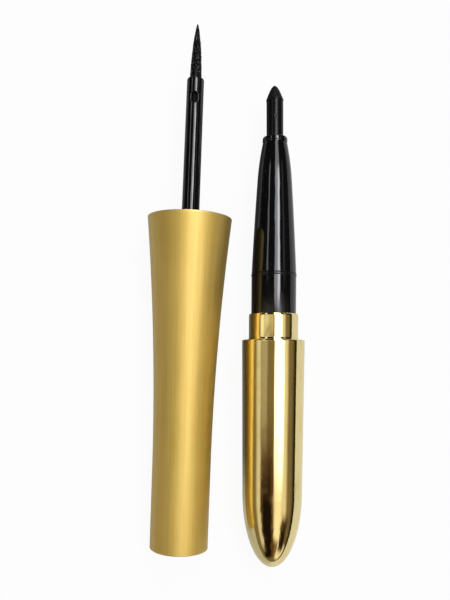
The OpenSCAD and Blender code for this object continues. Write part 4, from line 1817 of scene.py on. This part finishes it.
@dataclass(frozen=True)
class Studio:
    """White table with painted shade by the halves, soft light from overhead, and the camera that looks straight
    down.

    Attributes:
        lights: the lamps and the even walls that they light, which add up.
        walls: walls that are lit unevenly, in upright streaks.
        shades: dark things in the room, each in front of what comes before it.
        drift: how far the noise moves the edges of the shades, in degrees.
        streaks: how dense the walls' streaks are across and ahead.
        uneven: darkest part of the walls, and how far they vary from it.
        horizon: heights of the direction between which the world turns into the table.
        focal: focal length, on a long side of the sensor.
        sensor: long side of the sensor.
        eye: place of the camera.
        shift: how far the frame is shifted, as a share of its long side.
        clip: nearest and furthest that the camera sees, in metres.
        table: half the width of the table, in metres.
        gap: between the table and the halves.
        white_share: share of the table that shows plain white to the camera, whatever shade falls on it.
        mirrored_share: share of the table that shows its plain colour in reflections.
        albedo_with_painted_shade: how light the table is left of the halves, between them and right of them. The
            darker left and middle colours are painted shade that stands for the halves' shadows.
        rise: where the painted shade on the left turns into the table's own colour on the right.
        between: reach of the darker painted shade between the halves.
        below: where that colour ends, along the table.
    """

    lights: tuple[Patch, ...] = (
        Patch((0.012, 0.011, 0.009), ROUND),
        Patch((1.15, 1.2, 1.7), (-1.0, 3.0, 30.0, 42.0), STRIP),
        Patch((1.2, 1.25, 1.5), (12.0, 20.0, 29.0, 40.0), STRIP),
        Patch((0.25, 0.25, 0.25), (4.0, 9.0, 26.0, 36.0), (-50.0, -40.0, -14.0, -8.0)),
        Patch((5.0, 5.05, 5.2), (-3.0, 1.0, 25.0, 29.0), UPPER),
        Patch((8.0, 8.1, 8.4), (12.0, 18.0, 25.0, 29.0), UPPER),
        Patch((3.6, 3.6, 3.5), (-3.0, 1.0, 25.0, 29.0), (25.0, 30.0, 70.0, 85.0)),
        Patch((0.62, 0.58, 0.5), (-2.0, 4.0, 46.0, 58.0), (-52.0, -42.0, 4.9, 5.7)),
        Patch((0.7, 0.68, 0.6), (26.0, 32.0, 75.0, 85.0), (-91.0, -90.0, -50.0, -42.0)),
        Patch((0.45, 0.45, 0.45), (42.0, 46.0, 52.0, 57.0), (6.0, 8.0, 27.0, 32.0)),
        Patch((0.2, 0.15, 0.08), (-96.0, -90.0, 66.0, 86.0), LOWER),
        Patch((2.3, 2.3, 2.3), (-45.0, -41.0, -37.0, -33.0), (7.0, 13.0, 28.0, 32.0)),
    )
    walls: tuple[Patch, ...] = (
        Patch((0.52, 0.52, 0.5), (-74.0, -60.0, -52.0, -46.0), LOWER),
        Patch((0.22, 0.22, 0.2), (-50.0, -44.0, -30.0, -22.0), LOWER),
        Patch((0.4, 0.38, 0.3), (-70.0, -60.0, -6.0, -2.0), (1.5, 3.5, 4.9, 5.7)),
    )
    shades: tuple[Patch, ...] = (
        Patch((0.1, 0.045, 0.02), (-56.0, -46.0, -6.0, 2.0), (-91.0, -90.0, -12.0, -4.0)),
        Patch((0.012, 0.008, 0.006), (-46.0, -38.0, -12.0, -6.0), (-91.0, -90.0, -14.0, -8.0)),
        Patch((0.012, 0.008, 0.006), (-80.0, -66.0, -12.0, -6.0), (-91.0, -90.0, -62.0, -44.0)),
        Patch((0.11, 0.05, 0.018), (-12.0, -6.0, 6.0, 14.0), (-91.0, -90.0, -54.0, -38.0)),
        Patch((0.09, 0.05, 0.02), (30.0, 38.0, 60.0, 72.0), (-64.0, -50.0, -30.0, -20.0)),
        Patch((0.012, 0.009, 0.006), (38.0, 44.0, 54.0, 62.0), (-58.0, -46.0, -34.0, -26.0)),
        Patch((0.2, 0.15, 0.08), ROUND, (-91.0, -90.0, -80.0, -68.0)),
    )
    drift: float = 30.0
    streaks: Span = (0.11, 0.02)
    uneven: Span = (0.4, 1.2)
    horizon: Span = (-0.06, -0.01)
    focal: float = 37.66
    sensor: float = 36.0
    eye: tuple[float, float, float] = (-0.727, -14.331, 130.9)
    shift: Span = (0.003, 0.1207)
    clip: Span = (0.005, 50.0)
    table: float = 2.0
    gap: float = 0.02
    white_share: float = 0.94
    mirrored_share: float = 0.3
    albedo_with_painted_shade: tuple[Colour, Colour, Colour] = ((0.5,) * 3, (0.15,) * 3, (0.74,) * 3)
    rise: Span = (-4.0, 14.0)
    between: Reach = (-12.0, -8.0, 4.0, 8.0)
    below: Span = (-46.0, -30.0)

    def floor(self) -> None:
        """White table just under the halves.

        To the camera it shows mostly plain white and partly its lit self, so a trace of the halves' shadow
        stays. To other rays it is darker left of the halves and darkest between them, painted shade that stands
        for their shadows. The halves are lit by these colours and mirror them.
        """
        half, level = self.table, -self.gap * MM
        corners = [(-half, -half, level), (half, -half, level), (half, half, level), (-half, half, level)]
        mesh = bpy.data.meshes.new("table")
        mesh.from_pydata(corners, [], [(0, 1, 2, 3)])
        table = into_scene("table", mesh)
        material = bpy.data.materials.new("white_table")
        nodes = Nodes(material)
        camera, glossy, through = (nodes.add("ShaderNodeLightPath", output=ray) for ray in (0, 3, 6))
        seen = (camera.larger(through) * self.white_share).larger(glossy * self.mirrored_share)
        place = nodes.in_millimetres()
        x, y = place.axis(0), place.axis(1)
        # left and middle are painted shade for the halves' shadows on the table; right is the table's own colour
        left, middle, right = self.albedo_with_painted_shade
        between = x.band(*self.between) * y.step(*self.below)
        shade = nodes.mix(between, nodes.mix(x.step(*self.rise), left, right), middle)
        lit = nodes.add("ShaderNodeBsdfDiffuse", sockets={"Color": nodes.mix(camera, shade, right)})
        plain = nodes.add("ShaderNodeEmission", sockets={"Color": nodes.mix(glossy, WHITE, shade)})
        both = nodes.add("ShaderNodeMixShader", sockets={0: seen, 1: lit, 2: plain})
        nodes.node("ShaderNodeOutputMaterial", sockets={0: both})
        mesh.materials.append(material)

    def light(self) -> None:
        """The room and its lights, as the world.

        A direction's angle across is the arc tangent of its x over its z, and its angle ahead the arc sine
        of its y. Below the horizon, and to the camera, the world is plain white.
        """
        world = bpy.data.worlds.new("studio")
        bpy.context.scene.world = world
        nodes = Nodes(world)
        direction = nodes.add("ShaderNodeTexCoord")
        z = direction.axis(2)
        across, ahead = direction.axis(0).angle_from(z), direction.axis(1).arcsine()
        dense_across, dense_ahead = self.streaks
        place = nodes.add("ShaderNodeCombineXYZ", sockets={0: across * dense_across, 1: ahead * dense_ahead})
        dark, varied = self.uneven
        uneven = dark + nodes.noise(place, 1.0, 2.0) * varied
        lit = [(patch.colour, patch.mask(across, ahead)) for patch in self.lights]
        lit += [(patch.colour, patch.mask(across, ahead) * uneven) for patch in self.walls]
        bright = [nodes.mix(mask, (0.0, 0.0, 0.0), colour) for colour, mask in lit]
        studio = reduce(lambda whole, part: nodes.vectors("ADD", whole, part), bright)
        drift = (nodes.noise(direction, 8.0, 3.0) - 0.5) * self.drift
        for patch in self.shades:
            studio = nodes.mix(patch.mask(across + drift, ahead), studio, patch.colour)
        seen = nodes.add("ShaderNodeLightPath").larger(1 - z.step(*self.horizon))
        sky = nodes.add("ShaderNodeBackground", sockets={"Color": nodes.mix(seen, studio, WHITE)})
        nodes.node("ShaderNodeOutputWorld", sockets={0: sky})

    def camera(self) -> None:
        """Camera straight above, with the frame shifted towards the tips."""
        data = bpy.data.cameras.new("camera")
        data.lens, data.sensor_width = self.focal, self.sensor
        data.shift_x, data.shift_y = self.shift
        data.clip_start, data.clip_end = self.clip
        camera = into_scene("camera", data)
        camera.location = tuple(value * MM for value in self.eye)
        bpy.context.scene.camera = camera

    def set_up(self) -> None:
        """Makes the table, the light and the camera, with colours shown as they are."""
        self.camera()
        self.floor()
        self.light()
        bpy.context.scene.view_settings.view_transform = "Standard"


def main() -> None:
    """Builds the studio and both halves in order, and reports each piece."""
    logging.basicConfig(level=logging.INFO, format="%(name)s %(message)s")
    neck, twist = mount("bottle_neck"), joint("nose_twist")
    wand = Lie.through(neck["pos_m"], neck["axis"], BottleMouth.face_z)
    pencil = Lie.through(twist["pos_m"], joint("lead_feed")["axis"], BulletBase.seam_z)
    Studio().set_up()
    sleeve = Sleeve(wand)
    parts = (
        sleeve,
        PencilSocket(wand, sleeve, mount("pencil_socket")["dims"]["r_mm"]),
        BottleMouth(wand, sleeve),
        Wand(wand.leaning(Wand.chamber_z, Wand.lean)),
        BulletBase(pencil, mount("cap_seat")["dims"]["r_mm"]),
        TwistNose(pencil),
        Crayon(pencil),
    )
    for part in parts:
        for piece in part.dress():
            faces, finish = len(piece.data.polygons), piece.data.materials[0].name
            LOG.info("%s: %s, %d faces, %s", type(part).__name__, piece.name, faces, finish)


if __name__ == "__main__":
    main()
